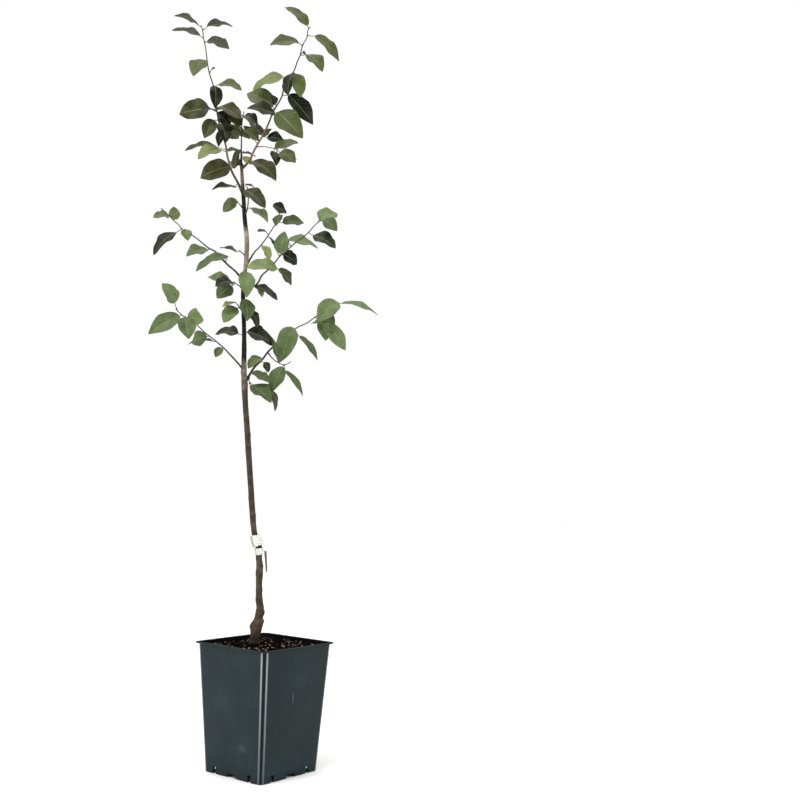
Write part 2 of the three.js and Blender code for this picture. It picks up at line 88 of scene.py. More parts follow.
# %% [markdown]
# ## Camera, floor and light
# The camera stands at one corner of the pot, 57 cm up, and looks a little upwards, as the pot's
# edges in the photograph ask for. The floor is matt white, and the camera sees white air round the
# tree. For all other rays the air is dim at the sides and bright overhead, so the leaves' upper
# sides shine and their undersides stay dark. Two tall lights at the left and the right give the
# pot's walls and the stem their form, and a soft light above adds to the sky.

# %% Camera
def put(name, data):
    """An object in the scene, at the origin."""
    thing = bpy.data.objects.new(name, data)
    bpy.context.collection.objects.link(thing)
    return thing


camera = put("camera", bpy.data.cameras.new("camera"))
camera.data.lens = 50.085
camera.data.sensor_width = 36
camera.data.clip_end = 100
aim = (
    Matrix.Rotation(math.radians(38.47), 4, "Z")
    @ Matrix.Rotation(math.radians(94.31), 4, "X")
    @ Matrix.Rotation(math.radians(1.36), 4, "Z")
)
camera.matrix_world = Matrix.Translation((1.5952, -1.5952, 0.569)) @ aim
bpy.context.scene.camera = camera
bpy.context.scene.view_settings.view_transform = "Standard"
print("camera at", [round(x, 3) for x in camera.location])


# %% [markdown]
# Every material here is built from nodes, and colours are written as on screen, such as #3a4446.
# Blender reckons with linear numbers, so one function turns the ones into the others, and one
# function adds a node. All materials end alike, with relief, surface and output, which a third
# function lays down. A pattern's scale says how many of its spots go into a metre, so a scale of
# 240 gives streaks 4 mm wide.

# %% Helpers for colours and nodes
def linear(code):
    """An sRGB colour such as #3a4446 as the linear numbers that Blender reckons with."""
    shares = [int(code[i : i + 2], 16) / 255 for i in (1, 3, 5)]
    return tuple(c / 12.92 if c <= 0.04045 else ((c + 0.055) / 1.055) ** 2.4 for c in shares) + (1,)


def new_look(name):
    """An empty material that is built up from nodes."""
    look = bpy.data.materials.new(name)
    look.use_nodes = True
    look.node_tree.nodes.clear()
    return look


def add(look, kind, inputs=(), stops=(), **options):
    """Adds a node with its options. An input is a value, or the node or socket it comes from."""
    node = look.node_tree.nodes.new("ShaderNode" + kind)
    for option, value in options.items():
        setattr(node, option, value)
    for name, given in dict(inputs).items():
        given = given.outputs[0] if isinstance(given, bpy.types.Node) else given
        if isinstance(given, bpy.types.NodeSocket):
            look.node_tree.links.new(given, node.inputs[name])
        else:
            node.inputs[name].default_value = linear(given) if isinstance(given, str) else given
    for _ in stops[2:]:
        node.color_ramp.elements.new(1)
    for number, (position, colour) in enumerate(stops):
        element = node.color_ramp.elements[number]
        element.position = position
        element.color = linear(colour) if isinstance(colour, str) else colour
    return node


def finish_look(look, inputs, relief=None, **options):
    """Ends a material. Relief is a height, how strong it is and how deep in metres."""
    if relief:
        height, strength, depth = relief
        bump = {"Strength": strength, "Distance": depth, "Height": height}
        inputs = {**inputs, "Normal": add(look, "Bump", bump, **options)}
    add(look, "OutputMaterial", {"Surface": add(look, "BsdfPrincipled", inputs)})
    print(look.name, "has", len(look.node_tree.nodes), "nodes")


print("white is", linear("#ffffff"))

# %% Floor and air
matt_white = new_look("matt white studio floor")
finish_look(matt_white, {"Base Color": "#fbfbf9", "Roughness": 0.9})

bm = bmesh.new()
bmesh.ops.create_circle(bm, cap_ends=True, segments=96, radius=14)
floor_mesh = bpy.data.meshes.new("floor")
bm.to_mesh(floor_mesh)
bm.free()
floor_mesh.transform(Matrix.Translation((0, 0, -0.0004)))
floor_mesh.materials.append(matt_white)
floor = put("floor", floor_mesh)
floor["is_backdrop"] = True

world = bpy.data.worlds.new("white air")
world.use_nodes = True
world.node_tree.nodes.clear()
sky_way = add(world, "TexCoord").outputs["Generated"]
sky_height = add(world, "SeparateXYZ", {0: sky_way}).outputs["Z"]
overhead = add(world, "Math", {1: 4, 0: sky_height}, operation="POWER")
sky_light = add(world, "Math", {1: 2.6, 2: 0.28, 0: overhead}, operation="MULTIPLY_ADD")
lit_air = add(world, "Background", {"Color": "#ffffff", "Strength": sky_light})
seen_air = add(world, "Background", {"Color": "#ffffff", "Strength": 1.0})
seen = add(world, "LightPath").outputs["Is Camera Ray"]
air = add(world, "MixShader", {0: seen, 1: lit_air, 2: seen_air})
add(world, "OutputWorld", {"Surface": air})
bpy.context.scene.world = world

# %% Lights
# name, place, what it looks at, width and height in metres, watts
LIGHTS = [
    ("left strip", (-0.5, -2.2, 1.0), (0, 0, 0.3), 0.6, 1.7, 24),
    ("right strip", (2.2, 0.5, 1.0), (0, 0, 0.3), 0.6, 1.7, 17),
    ("top softbox", (0.2, -1.6, 2.9), (0, 0, 1.1), 0.9, 0.9, 26),
]
for name, at, towards, width, height, watts in LIGHTS:
    lamp = bpy.data.lights.new(name, "AREA")
    lamp.shape = "RECTANGLE"
    lamp.size = width
    lamp.size_y = height
    lamp.energy = watts
    light = put(name, lamp)
    look_at = (Vector(towards) - Vector(at)).to_track_quat("-Z", "Y")
    light.matrix_world = Matrix.Translation(at) @ look_at.to_matrix().to_4x4()
    print(name, watts, "W")


# %% [markdown]
# ## Turning a shape into a piece
# Every piece ends the same way: its mesh gets its materials, smooth faces with sharp
# edges kept, it is told which body it rides on, and the plain solid it stands for is hidden. The
# place is in the mesh, and the object stays at the origin.

# %% Piece helper
def make_piece(name, bm, looks, stands_for, sharp=40, set_down=TREE):
    """A finished piece from a bmesh in mm, which a matrix sets down in metres."""
    bmesh.ops.transform(bm, matrix=set_down, verts=bm.verts)
    mesh = bpy.data.meshes.new(name)
    bm.to_mesh(mesh)
    bm.free()
    for look in looks:
        mesh.materials.append(look)
    mesh.shade_smooth()
    mesh.set_sharp_from_angle(angle=math.radians(sharp))
    piece = put(name, mesh)
    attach(piece, "root")
    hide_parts(stands_for)
    print(name, "has", len(mesh.polygons), "faces")
    return piece


print("pieces are smooth where they bend by less than 40 degrees")

# %% [markdown]
# ## The pot's plastic
# Nursery pots like this are injection moulded from black-grey polypropylene with some recycled
# stock in it. The mould is satin, so the wall is neither matt nor shiny, the flow of the melt
# leaves faint upright streaks, and handling leaves pale scuffs. The streaks are noise
# stretched tall, about 4 mm wide; the moulded grain is finer than a pixel, so it is drawn at 1 mm.
# The rounded corner edges are rubbed smooth and painted pale, part wear and part painted highlight,
# most of all near the rim; the flats between them and the inside get a painted shade. Where that
# is, no noise can know, so each point of the wall carries a number for it: 1 rubbed and painted
# highlight, 0 plain, -1 painted shade.

# %% Moulded polypropylene
pot_look = new_look("moulded slate polypropylene")
pot_at = add(pot_look, "TexCoord").outputs["Object"]
tall = add(pot_look, "Mapping", {"Scale": (1, 1, 0.06), "Vector": pot_at})
streaks = add(pot_look, "TexNoise", {"Scale": 240, "Detail": 2, "Vector": tall})
clouds = add(pot_look, "TexNoise", {"Scale": 14, "Detail": 4, "Roughness": 0.6, "Vector": pot_at})
grain = add(pot_look, "TexNoise", {"Scale": 1000, "Detail": 1, "Vector": pot_at})
mottle = add(pot_look, "Math", {1: 0.35, 0: streaks, 2: clouds}, operation="MULTIPLY_ADD")
slates = [(0.35, "#162023"), (0.7, "#1b272a"), (1, "#243336")]
plastic_tone = add(pot_look, "ValToRGB", {"Fac": mottle}, stops=slates)
# a short upright scratch on the right wall and a soft smear low on the left one: each one's
# place and stretch, how far off it ends and how near it is full, and how pale it is
marks = []
for where, stretch, end, full, pale in (
    ((-0.0893, 0.008, -0.0304), (1, 1, 0.2), 0.003, 0.0005, 0.3),
    ((-0.0183, 0.083, -0.06), (0.6, 1, 1), 0.009, 0.001, 0.13),
):
    mark_at = add(pot_look, "Mapping", {"Location": where, "Scale": stretch, "Vector": pot_at})
    off_mark = add(pot_look, "VectorMath", {0: mark_at}, operation="LENGTH").outputs["Value"]
    marks.append(add(pot_look, "MapRange", {1: end, 2: full, 3: 0, 4: pale, 0: off_mark}))
marked = add(pot_look, "Math", {0: marks[0], 1: marks[1]}, operation="ADD")
scuffed = add(pot_look, "MixRGB", {"Color2": "#6d777a", "Fac": marked, "Color1": plastic_tone})
# corner edges: rubbed smooth and painted pale, part wear and part painted highlight; the flats
# between them and the inside of the pot: painted shade
rub_and_painted_light = add(pot_look, "Attribute", attribute_name="rub_and_painted_light").outputs["Fac"]
shadowed = add(pot_look, "MapRange", {1: -1, 2: 0, 3: 0.92, 4: 0, 0: rub_and_painted_light})
painted_shade_colour = add(pot_look, "MixRGB", {"Color2": "#000000", "Fac": shadowed, "Color1": scuffed})
rub_highlight_line = add(pot_look, "MapRange", {1: 0, 2: 1, 3: 0, 4: 0.97, 0: rub_and_painted_light})
rubbed_and_highlit = add(pot_look, "MixRGB", {"Color2": "#9aa1a3", "Fac": rub_highlight_line, "Color1": painted_shade_colour})
sheen_change = add(pot_look, "MapRange", {1: 0.3, 2: 0.7, 3: 0.34, 4: 0.42, 0: clouds})
polish = add(pot_look, "Math", {1: -0.1, 0: rub_highlight_line, 2: sheen_change}, operation="MULTIPLY_ADD")
satin = {"Specular IOR Level": 0.11, "IOR": 1.49, "Base Color": rubbed_and_highlit, "Roughness": polish}
finish_look(pot_look, satin, relief=(grain, 0.12, 0.0004))

# %% [markdown]
# ## The pot's form
# The real pot is one thin wall drawn over a steel core, so it widens upwards and its corners are
# cut off flat. It could be sculpted from a cube, but carrying one face from height to height
# follows how the wall really runs: up the outside, out to the stiff lip, over it, and down the
# inside to the floor. Going the other way, the same move makes the skirt under the floor.

# %% Pot sizes
# in mm; the corner cut is a share of the width
POT_HEIGHT, BASE_WIDTH, WALL_TOP_WIDTH, WALL = 250, 158, 190, 2
LIP_WIDTH, LIP_HEIGHT, LIP_SLOPE, FLOOR_TOP = 199, 3.5, 1.4, 13
CORNER_CUT, EDGE_ROUNDING = 0.039, 3.3


def wall_width(height):
    """Outside width of the tapered wall at a height in mm."""
    return BASE_WIDTH + (WALL_TOP_WIDTH - BASE_WIDTH) * height / POT_HEIGHT


def cut_square(bm, width, height):
    """A flat square with its corners cut off."""
    half = width / 2
    flat = half * (1 - 2 * CORNER_CUT)
    ring = [(flat, -half), (half, -flat), (half, flat), (flat, half)]
    ring += [(-x, -y) for x, y in ring]
    return bm.faces.new([bm.verts.new((x, y, height)) for x, y in ring])


def carry(bm, face, width, height):
    """Extrudes a face and takes it to a new width and height."""
    now = max(vert.co.x for vert in face.verts) * 2
    moved = bmesh.ops.extrude_discrete_faces(bm, faces=[face])["faces"][0]
    for vert in moved.verts:
        vert.co = (vert.co.x * width / now, vert.co.y * width / now, height)
    return moved


def round_edges(bm, edges, radius, segments):
    """Rounds edges evenly, with the editor's own settings for a bevel."""
    bmesh.ops.bevel(
        bm, geom=edges, offset=radius, offset_type="OFFSET", affect="EDGES", segments=segments,
        profile=0.5, material=-1,
    )


print("half way up, the pot is", wall_width(POT_HEIGHT / 2), "mm wide")

# %% Pot wall
bm = bmesh.new()
bottom = cut_square(bm, BASE_WIDTH, 0)
made = bmesh.ops.extrude_face_region(bm, geom=[bottom])["geom"]
top = next(part for part in made if isinstance(part, bmesh.types.BMFace))
lip_low = POT_HEIGHT - LIP_HEIGHT
for vert in top.verts:
    vert.co *= wall_width(lip_low) / BASE_WIDTH
    vert.co.z = lip_low
for width, height in (
    (LIP_WIDTH, lip_low + LIP_SLOPE),
    (LIP_WIDTH, POT_HEIGHT),
    (WALL_TOP_WIDTH - 2 * WALL, POT_HEIGHT),
    (wall_width(FLOOR_TOP) - 2 * WALL, FLOOR_TOP),
):
    top = carry(bm, top, width, height)
underside = FLOOR_TOP - WALL
for width, height in ((BASE_WIDTH, 0), (wall_width(underside), underside)):
    bottom = carry(bm, bottom, width - 2 * WALL, height)
bmesh.ops.recalc_face_normals(bm, faces=bm.faces)
upright = [e for e in bm.edges if abs(e.verts[0].co.z - e.verts[1].co.z) > POT_HEIGHT / 5]
round_edges(bm, upright, EDGE_ROUNDING, 4)
print("pot wall", len(bm.faces), "faces,", len(upright), "upright edges rounded")

# %% [markdown]
# The skirt stands on its rim, so water has to get away from under it: each side has a notch in the
# middle and two slots that run up to the floor. Blender's Boolean modifier cuts them all
# with one set of boxes.

# %% Slots and notches
DRAIN_OFFSET, DRAIN, NOTCH = 48, (8, 28, 27), (22, 28, 14)


def shown_mesh(thing):
    """The mesh that an object shows with its modifiers or its curve's settings."""
    graph = bpy.context.evaluated_depsgraph_get()
    return bpy.data.meshes.new_from_object(thing.evaluated_get(graph))


def cut_with_boxes(bm, boxes):
    """Cuts boxes, each given by its centre, size and quarter turns, out of a shape."""
    cutter = bmesh.new()
    for centre, size, quarters in boxes:
        turn = Matrix.Rotation(math.radians(90 * quarters), 4, "Z")
        stretch = Matrix.Diagonal((*size, 1))
        bmesh.ops.create_cube(cutter, size=1, matrix=turn @ Matrix.Translation(centre) @ stretch)
    holders = []
    for shape in (bm, cutter):
        mesh = bpy.data.meshes.new("boolean")
        shape.to_mesh(mesh)
        holders.append(put("boolean", mesh))
    cut = holders[0].modifiers.new("cut", "BOOLEAN")
    cut.operation = "DIFFERENCE"
    cut.solver = "EXACT"
    cut.object = holders[1]
    done = shown_mesh(holders[0])
    bm.clear()
    bm.from_mesh(done)
    cutter.free()
    for holder in holders:
        bpy.data.meshes.remove(holder.data)
    bpy.data.meshes.remove(done)


boxes = [
    ((across, -BASE_WIDTH / 2, 0), size, side)
    for side in range(4)
    for across, size in ((-DRAIN_OFFSET, DRAIN), (DRAIN_OFFSET, DRAIN), (0, NOTCH))
]
cut_with_boxes(bm, boxes)
bmesh.ops.remove_doubles(bm, verts=bm.verts, dist=0.01)
bmesh.ops.dissolve_limit(bm, angle_limit=math.radians(0.5), verts=bm.verts, edges=bm.edges)
print(len(boxes), "boxes cut,", len(bm.faces), "faces")

# %% [markdown]
# Each point of the wall gets its number for rubbing and painted light: a stripe 1.6 mm to each
# side of a corner's edge is rubbed and painted as a highlight and then fades, and the flat between
# two edges and the inside of the pot get a painted shade.
# Then a round foot carries the middle of the floor, and a narrow bevel takes the knife edge off
# every corner, as the mould does.

# %% Painted highlight and shade, foot and soft edges
RUB_HIGHLIGHT_WIDTH, RUB_HIGHLIGHT_LOW, RUB_HIGHLIGHT_RISE = 1.6, 0.26, 0.7
CLEAR_OF_FACE, INSIDE_SHADE, FLAT_SHADE = 1.5, -1, -0.8
FOOT_RADIUS, FOOT_HEIGHT = 18, 12

# each point's number: a rubbed stripe with a painted highlight along the corner edges, and a
# painted shade on the corner flats and inside
rub_and_light_layer = bm.verts.layers.float.new("rub_and_painted_light")
for vert in bm.verts:
    half = wall_width(vert.co.z) / 2
    far, near = sorted((abs(vert.co.x), abs(vert.co.y)), reverse=True)
    past_edge = near - half * (1 - 2 * CORNER_CUT)
    # on the flat's side of the edge the stripe is narrower
    off_edge = math.hypot(far - half, past_edge) * (1.5 if past_edge > 0.5 else 1)
    rub_highlight = min(1, max(0, 2 - off_edge / RUB_HIGHLIGHT_WIDTH))
    vert[rub_and_light_layer] = rub_highlight * (RUB_HIGHLIGHT_LOW + RUB_HIGHLIGHT_RISE * vert.co.z / POT_HEIGHT)
    inward = far < half - CLEAR_OF_FACE
    # inside the pot and on the corner flats, the number is a painted shade
    if inward and far + near < 2 * half * (1 - CORNER_CUT) - CLEAR_OF_FACE:
        vert[rub_and_light_layer] = INSIDE_SHADE
    elif vert[rub_and_light_layer] == 0 and inward and vert.co.z < lip_low + 1:
        vert[rub_and_light_layer] = FLAT_SHADE
foot = {"radius1": FOOT_RADIUS, "radius2": FOOT_RADIUS, "depth": FOOT_HEIGHT}
foot_at = Matrix.Translation((0, 0, FOOT_HEIGHT / 2))
bmesh.ops.create_cone(bm, cap_ends=True, segments=64, matrix=foot_at, **foot)
pot = make_piece("pot_shell", bm, [pot_look], "pot", 35, TO_METRES)
soften = pot.modifiers.new("soft mould edges", "BEVEL")
soften.width = 0.5 * MM
soften.segments = 2
soften.limit_method = "ANGLE"
soften.angle_limit = math.radians(35)
soften.harden_normals = True

# %% [markdown]
# ## The potting soil
# The pot is filled to 8 mm under the rim with bark and peat. From the camera one sees its top
# only, a dark crumbly bed with pale chips in it. Displacing a plane would look like
# cloth, so the bed is a lumpy closed block, and three thousand small rough chips lie on it.
# Each chip is a 20-sided ball, squashed and turned at random, and carries its own tone. Moist peat
# swallows light, so it hardly shines, and its grain is drawn as crumbs of 2 mm.

# %% Soil colours
soil_look = new_look("moist bark and peat")
soil_at = add(soil_look, "TexCoord").outputs["Object"]
chip_tone = add(soil_look, "Attribute", attribute_name="tone").outputs["Fac"]
soil_grain = add(soil_look, "TexNoise", {"Scale": 500, "Detail": 4, "Vector": soil_at})
varied = add(soil_look, "Math", {1: 0.25, 0: soil_grain, 2: chip_tone}, operation="MULTIPLY_ADD")
browns = [(0.1, "#000000"), (0.45, "#060302"), (0.7, "#21150e"), (0.85, "#4f3c31"), (1, "#b4a69c")]
soil_colour = add(soil_look, "ValToRGB", {"Fac": varied}, stops=browns)
crumbly = {"Roughness": 0.9, "Specular IOR Level": 0.03, "Base Color": soil_colour}
finish_look(soil_look, crumbly, relief=(soil_grain, 0.7, 0.0012))

# %% Soil bed
SOIL_TOP, SEAT_GAP = 242.5, 0.3
MOUND_HEIGHT, MOUND_WIDTH = 4, 34
LUMP_HEIGHT, LUMP_WIDTH, CRUMB_HEIGHT, CRUMB_WIDTH = 2.2, 16, 1.0, 5
stem_foot = Matrix.Rotation(math.radians(45), 3, "Z") @ place(-20.8, 240, 9)


def soil_height(x, y):
    """Height of the bed in mm: lumps, and a low mound round the stem."""
    lump = LUMP_HEIGHT * noise.noise(Vector((x, y, 0)) / LUMP_WIDTH)
    lump += CRUMB_HEIGHT * noise.noise(Vector((x, y, 9)) / CRUMB_WIDTH)
    off_stem = (x - stem_foot.x) ** 2 + (y - stem_foot.y) ** 2
    return SOIL_TOP + lump + MOUND_HEIGHT * math.exp(-off_stem / MOUND_WIDTH**2)


def grown_points(made):
    """The new corners among what an extrusion made."""
    return [part for part in made if isinstance(part, bmesh.types.BMVert)]


bm = bmesh.new()
tone_layer = bm.verts.layers.float.new("tone")
half = wall_width(SOIL_TOP) / 2 - WALL - SEAT_GAP
bmesh.ops.create_grid(bm, x_segments=76, y_segments=76, size=half)
for x, y in ((1, 1), (1, -1), (-1, 1), (-1, -1)):
    edge_point = (x * half * (1 - CORNER_CUT), y * half * (1 - CORNER_CUT), 0)
    bmesh.ops.bisect_plane(
        bm, geom=bm.verts[:] + bm.edges[:] + bm.faces[:], plane_co=edge_point,
        plane_no=(x, y, 0), clear_outer=True,
    )
for vert in bm.verts:
    vert.co.z = soil_height(vert.co.x, vert.co.y)
    vert[tone_layer] = 0.12 + 0.2 * noise.noise(vert.co / 4)
border = [edge for edge in bm.edges if edge.is_boundary]
lower = bmesh.ops.extrude_edge_only(bm, edges=border)["geom"]
base_half = wall_width(FLOOR_TOP) / 2 - WALL - SEAT_GAP
for vert in grown_points(lower):
    vert.co = (vert.co.x * base_half / half, vert.co.y * base_half / half, FLOOR_TOP + SEAT_GAP)
rim = [part for part in lower if isinstance(part, bmesh.types.BMEdge)]
bmesh.ops.holes_fill(bm, edges=rim, sides=0)
bmesh.ops.recalc_face_normals(bm, faces=bm.faces)
print("bed", len(bm.faces), "faces, open edges", sum(edge.is_boundary for edge in bm.edges))

# %% Bark chips
CHIP_SIZES = [0.8, 0.9, 1.0, 1.2, 1.4, 1.7, 2.3]
CHIP_TONES = [0.05, 0.1, 0.15, 0.2, 0.25, 0.3, 0.35, 0.42, 0.5, 0.6, 0.78]
HANDFULS, CHIPS_IN_ONE, CLEAR_OF_STEM = 60, 50, 12


def throw_chips(amount, draw):
    """A handful of chips on the bed, as a mesh in mm."""
    heap = bmesh.new()
    heap_tone = heap.verts.layers.float.new("tone")
    while amount:
        x, y = draw.uniform(-half, half), draw.uniform(-half, half)
        size = draw.choice(CHIP_SIZES)
        inside = max(abs(x), abs(y)) < half - 1.6 * size
        inside = inside and abs(x) + abs(y) < 2 * half * (1 - CORNER_CUT) - 2.5 * size
        if not inside or math.hypot(x - stem_foot.x, y - stem_foot.y) < CLEAR_OF_STEM + size:
            continue
        turn = Matrix.Rotation(draw.uniform(0, 6.28), 4, "Z")
        turn = turn @ Matrix.Rotation(draw.uniform(-0.6, 0.6), 4, "X")
        long, wide = draw.uniform(0.8, 1.6), draw.uniform(0.6, 1)
        stretch = Matrix.Diagonal((size * long, size * wide, size * 0.6, 1))
        at = Matrix.Translation((x, y, soil_height(x, y) + size * draw.uniform(0, 0.5)))
        shape = at @ turn @ stretch
        ball = bmesh.ops.create_icosphere(heap, subdivisions=1, radius=1, matrix=shape)
        tone = draw.choice(CHIP_TONES)
        for vert in ball["verts"]:
            vert.co += Vector([draw.uniform(-0.14, 0.14) * size for _ in range(3)])
            vert[heap_tone] = tone
        amount -= 1
    handful = bpy.data.meshes.new("handful of chips")
    heap.to_mesh(handful)
    heap.free()
    return handful


draw = random.Random(11)
for number in range(HANDFULS):
    handful = throw_chips(CHIPS_IN_ONE, draw)
    bm.from_mesh(handful)
    bpy.data.meshes.remove(handful)
make_piece("soil_bed_and_chips", bm, [soil_look], "soil", 25, TO_METRES)

# %% [markdown]
# ## Bark
# Persimmon bark of this age is still smooth and brown, greyer and more olive on the root stock,
# with fine upright lines and pale breathing pores. The colour changes with height, so the
# material reads the object's own Z; part of that colour is the bark's own and part is painted
# light: near-black bands of painted shade under the tape roll, under the leaves and on the
# leader, and pale tan bands of painted sunlight. The pores are 1 mm dots, 5 mm apart, squashed
# to short dashes.
# Real bark lines are finer than a pixel, so these are 1.6 mm wide. Waxless bark is nearly matt.

# %% Bark of the stem
# share of the way up from 0.2 to 1.25 m, and the colour there: bark colour, near black where it
# meets the soil, near-black bands of painted shade under the tape roll, under the leaves and on
# the leader, and pale tan bands of painted sunlight
BARK_AND_PAINTED_LIGHT_ZONES = [
    (0.04, "#0f0d09"), (0.054, "#221d15"), (0.066, "#453a28"), (0.13, "#3a3022"), (0.2, "#413a2b"),
    (0.222, "#3f3829"), (0.226, "#0c0a08"), (0.23, "#0c0a08"), (0.27, "#3f3529"), (0.36, "#31281f"),
    (0.5, "#3d3229"), (0.53, "#54483b"), (0.57, "#625a4f"), (0.585, "#0e0b0a"), (0.71, "#100d0b"),
    (0.745, "#8c7d6c"), (0.83, "#7c7263"), (0.845, "#0e0b0a"), (0.91, "#120f0d"),
    (0.935, "#75665a"), (0.965, "#3b3128"), (1, "#14110e"),
]
BARK_SHADES = [(0.55, (0.5, 0.47, 0.44, 1)), (0.9, (1.0, 1.0, 1.0, 1)), (1, (1.7, 1.62, 1.5, 1))]
bark_look = new_look("young persimmon bark")
bark_at = add(bark_look, "TexCoord").outputs["Object"]
height = add(bark_look, "SeparateXYZ", {0: bark_at}).outputs["Z"]
drawn_out = add(bark_look, "Mapping", {"Scale": (1, 1, 0.16), "Vector": bark_at})
fine = {"Scale": 620, "Detail": 4, "Roughness": 0.65, "Vector": drawn_out}
fibres = add(bark_look, "TexNoise", fine)
patches = add(bark_look, "TexNoise", {"Scale": 80, "Detail": 3, "Vector": bark_at})
zones = add(bark_look, "MapRange", {1: 0.2, 2: 1.25, 0: height})
# colour by height: the bark's own colour, with bands of painted shade and painted sunlight
bark_and_painted_light_colour = add(bark_look, "ValToRGB", {"Fac": zones}, stops=BARK_AND_PAINTED_LIGHT_ZONES)
shade = add(bark_look, "Math", {1: 0.8, 0: fibres, 2: patches}, operation="MULTIPLY_ADD")
light_and_dark = add(bark_look, "ValToRGB", {"Fac": shade}, stops=BARK_SHADES)
both = {"Fac": 1.0, "Color1": bark_and_painted_light_colour, "Color2": light_and_dark}
barked = add(bark_look, "MixRGB", both, blend_type="MULTIPLY")
squashed = add(bark_look, "Mapping", {"Scale": (0.7, 0.7, 1.6), "Vector": bark_at})
pores = add(bark_look, "TexVoronoi", {"Scale": 200, "Vector": squashed}, feature="F1")
off_pore = pores.outputs["Distance"]
pore_mask = add(bark_look, "MapRange", {1: 0.16, 2: 0.08, 3: 0, 4: 0.55, 0: off_pore})
bark_colour = add(bark_look, "MixRGB", {"Color2": "#8d7c6a", "Fac": pore_mask, "Color1": barked})
bark_relief = add(bark_look, "Math", {1: 0.5, 0: pore_mask, 2: fibres}, operation="MULTIPLY_ADD")
matt = {"Roughness": 0.75, "Specular IOR Level": 0.24, "Base Color": bark_colour}
finish_look(bark_look, matt, relief=(bark_relief, 0.6, 0.0007))

# %% [markdown]
# ## The stem
# The stem is one grown piece: the root stock with its knobs, the step at the graft, and the slim
# shoot above it that bends from side to side up to the fork. Blender's curve tool suits it: a
# Bezier curve with automatic handles runs smoothly through the measured points, and each point
# has its own radius. The tube is then made a mesh, and its knobs and bud scars are pushed out.

# %% Tubes through measured points
def tubes(strands, sides, steps):
    """A bmesh of round closed tubes. A strand is its points, its radii and a material number."""
    curve = bpy.data.curves.new("strands", "CURVE")
    curve.dimensions = "3D"
    curve.bevel_depth = 1
    curve.bevel_resolution = sides // 2 - 2
    curve.resolution_u = steps
    curve.use_fill_caps = True
    for _ in range(1 + max(number for _, _, number in strands)):
        curve.materials.append(None)
    for points, radii, number in strands:
        spline = curve.splines.new("BEZIER")
        spline.bezier_points.add(len(points) - 1)
        spline.radius_interpolation = "CARDINAL"
        spline.material_index = number
        for knot, point, radius in zip(spline.bezier_points, points, radii):
            knot.co = point
            knot.radius = radius
            knot.handle_left_type = "AUTO"
            knot.handle_right_type = "AUTO"
    mesh = shown_mesh(put("strands", curve))
    bm = bmesh.new()
    bm.from_mesh(mesh)
    bpy.data.curves.remove(curve)
    bpy.data.meshes.remove(mesh)
    return bm


def strand_through(stations):
    """A strand from stations, each across, up, away and radius."""
    return [place(*station[:3]) for station in stations], [station[3] for station in stations], 0


# %% Stem tube
TRUNK = [
    (-23, 196, 8, 7), (-22, 222, 9, 10.5), (-20.8, 240, 9, 10.8), (-20.6, 258, 9, 9.6),
    (-19, 270, 9, 10.6), (-17.6, 280, 8, 11.4), (-15.2, 289, 8, 10.6), (-14.6, 297, 8, 8.3),
    (-12.5, 307, 7, 8.6), (-12, 317, 7, 7.5), (-14.2, 336, 6, 6.7), (-15.8, 356, 5, 6.4),
    (-15.5, 393, 4, 6.9), (-17.2, 414, 4, 6.4), (-18.4, 436, 4, 6.4), (-22.5, 449, 3, 6.7),
    (-27, 460, 2, 6), (-29.4, 472, 1, 5.7), (-32.2, 494, 0, 6), (-38.4, 556, -1, 5.8),
    (-44.6, 620, -2, 5.9), (-50.6, 682, -2, 5.8), (-55, 724, -2, 5.7), (-57.4, 753, -1, 6.2),
    (-58.8, 772, -1, 5.9), (-60.2, 800, 0, 5.3), (-61.2, 843, 1, 4.8), (-62.5, 873, 1, 4.4),
    (-64.6, 909, 1, 4.4), (-67, 954, 0, 4.2), (-64.4, 992, 0, 4.2), (-62.6, 1026, 0, 4.7),
    (-63.6, 1062, -1, 4.6), (-68.6, 1098, -1, 4.4), (-73, 1145, -2, 4.1), (-77, 1185, -2, 3.6),
    (-79.6, 1212, -2, 3.1),
]
trunk = strand_through(TRUNK)
trunk_length = sum((b - a).length for a, b in zip(trunk[0], trunk[0][1:]))
bm = tubes([trunk], 24, 12)
print("stem tube", len(bm.faces), "faces,", round(trunk_length), "mm long")

# %% Knobs, bud scars and bark relief
# across, up, away, how far it stands out and how wide it is: knobs, then the flare at the foot
KNOBS = [
    (-30, 281, 4, 3.2, 7), (-6, 291, 4, 2.4, 6), (-4, 307, 5, 1.7, 5.5), (-9, 262, 0, 1.6, 7),
    (-22, 330, 6, 1.1, 6), (-9, 352, 4, 1.0, 5), (-22, 385, 3, 0.9, 6), (-10, 400, 2, 0.8, 5),
    (-51, 762, -4, 1.4, 6), (-64, 786, -3, 1.8, 5),
    (-31, 243, 4, 3.5, 6), (-10, 243, 4, 3, 6), (-18, 241, 0, 3, 6),
]
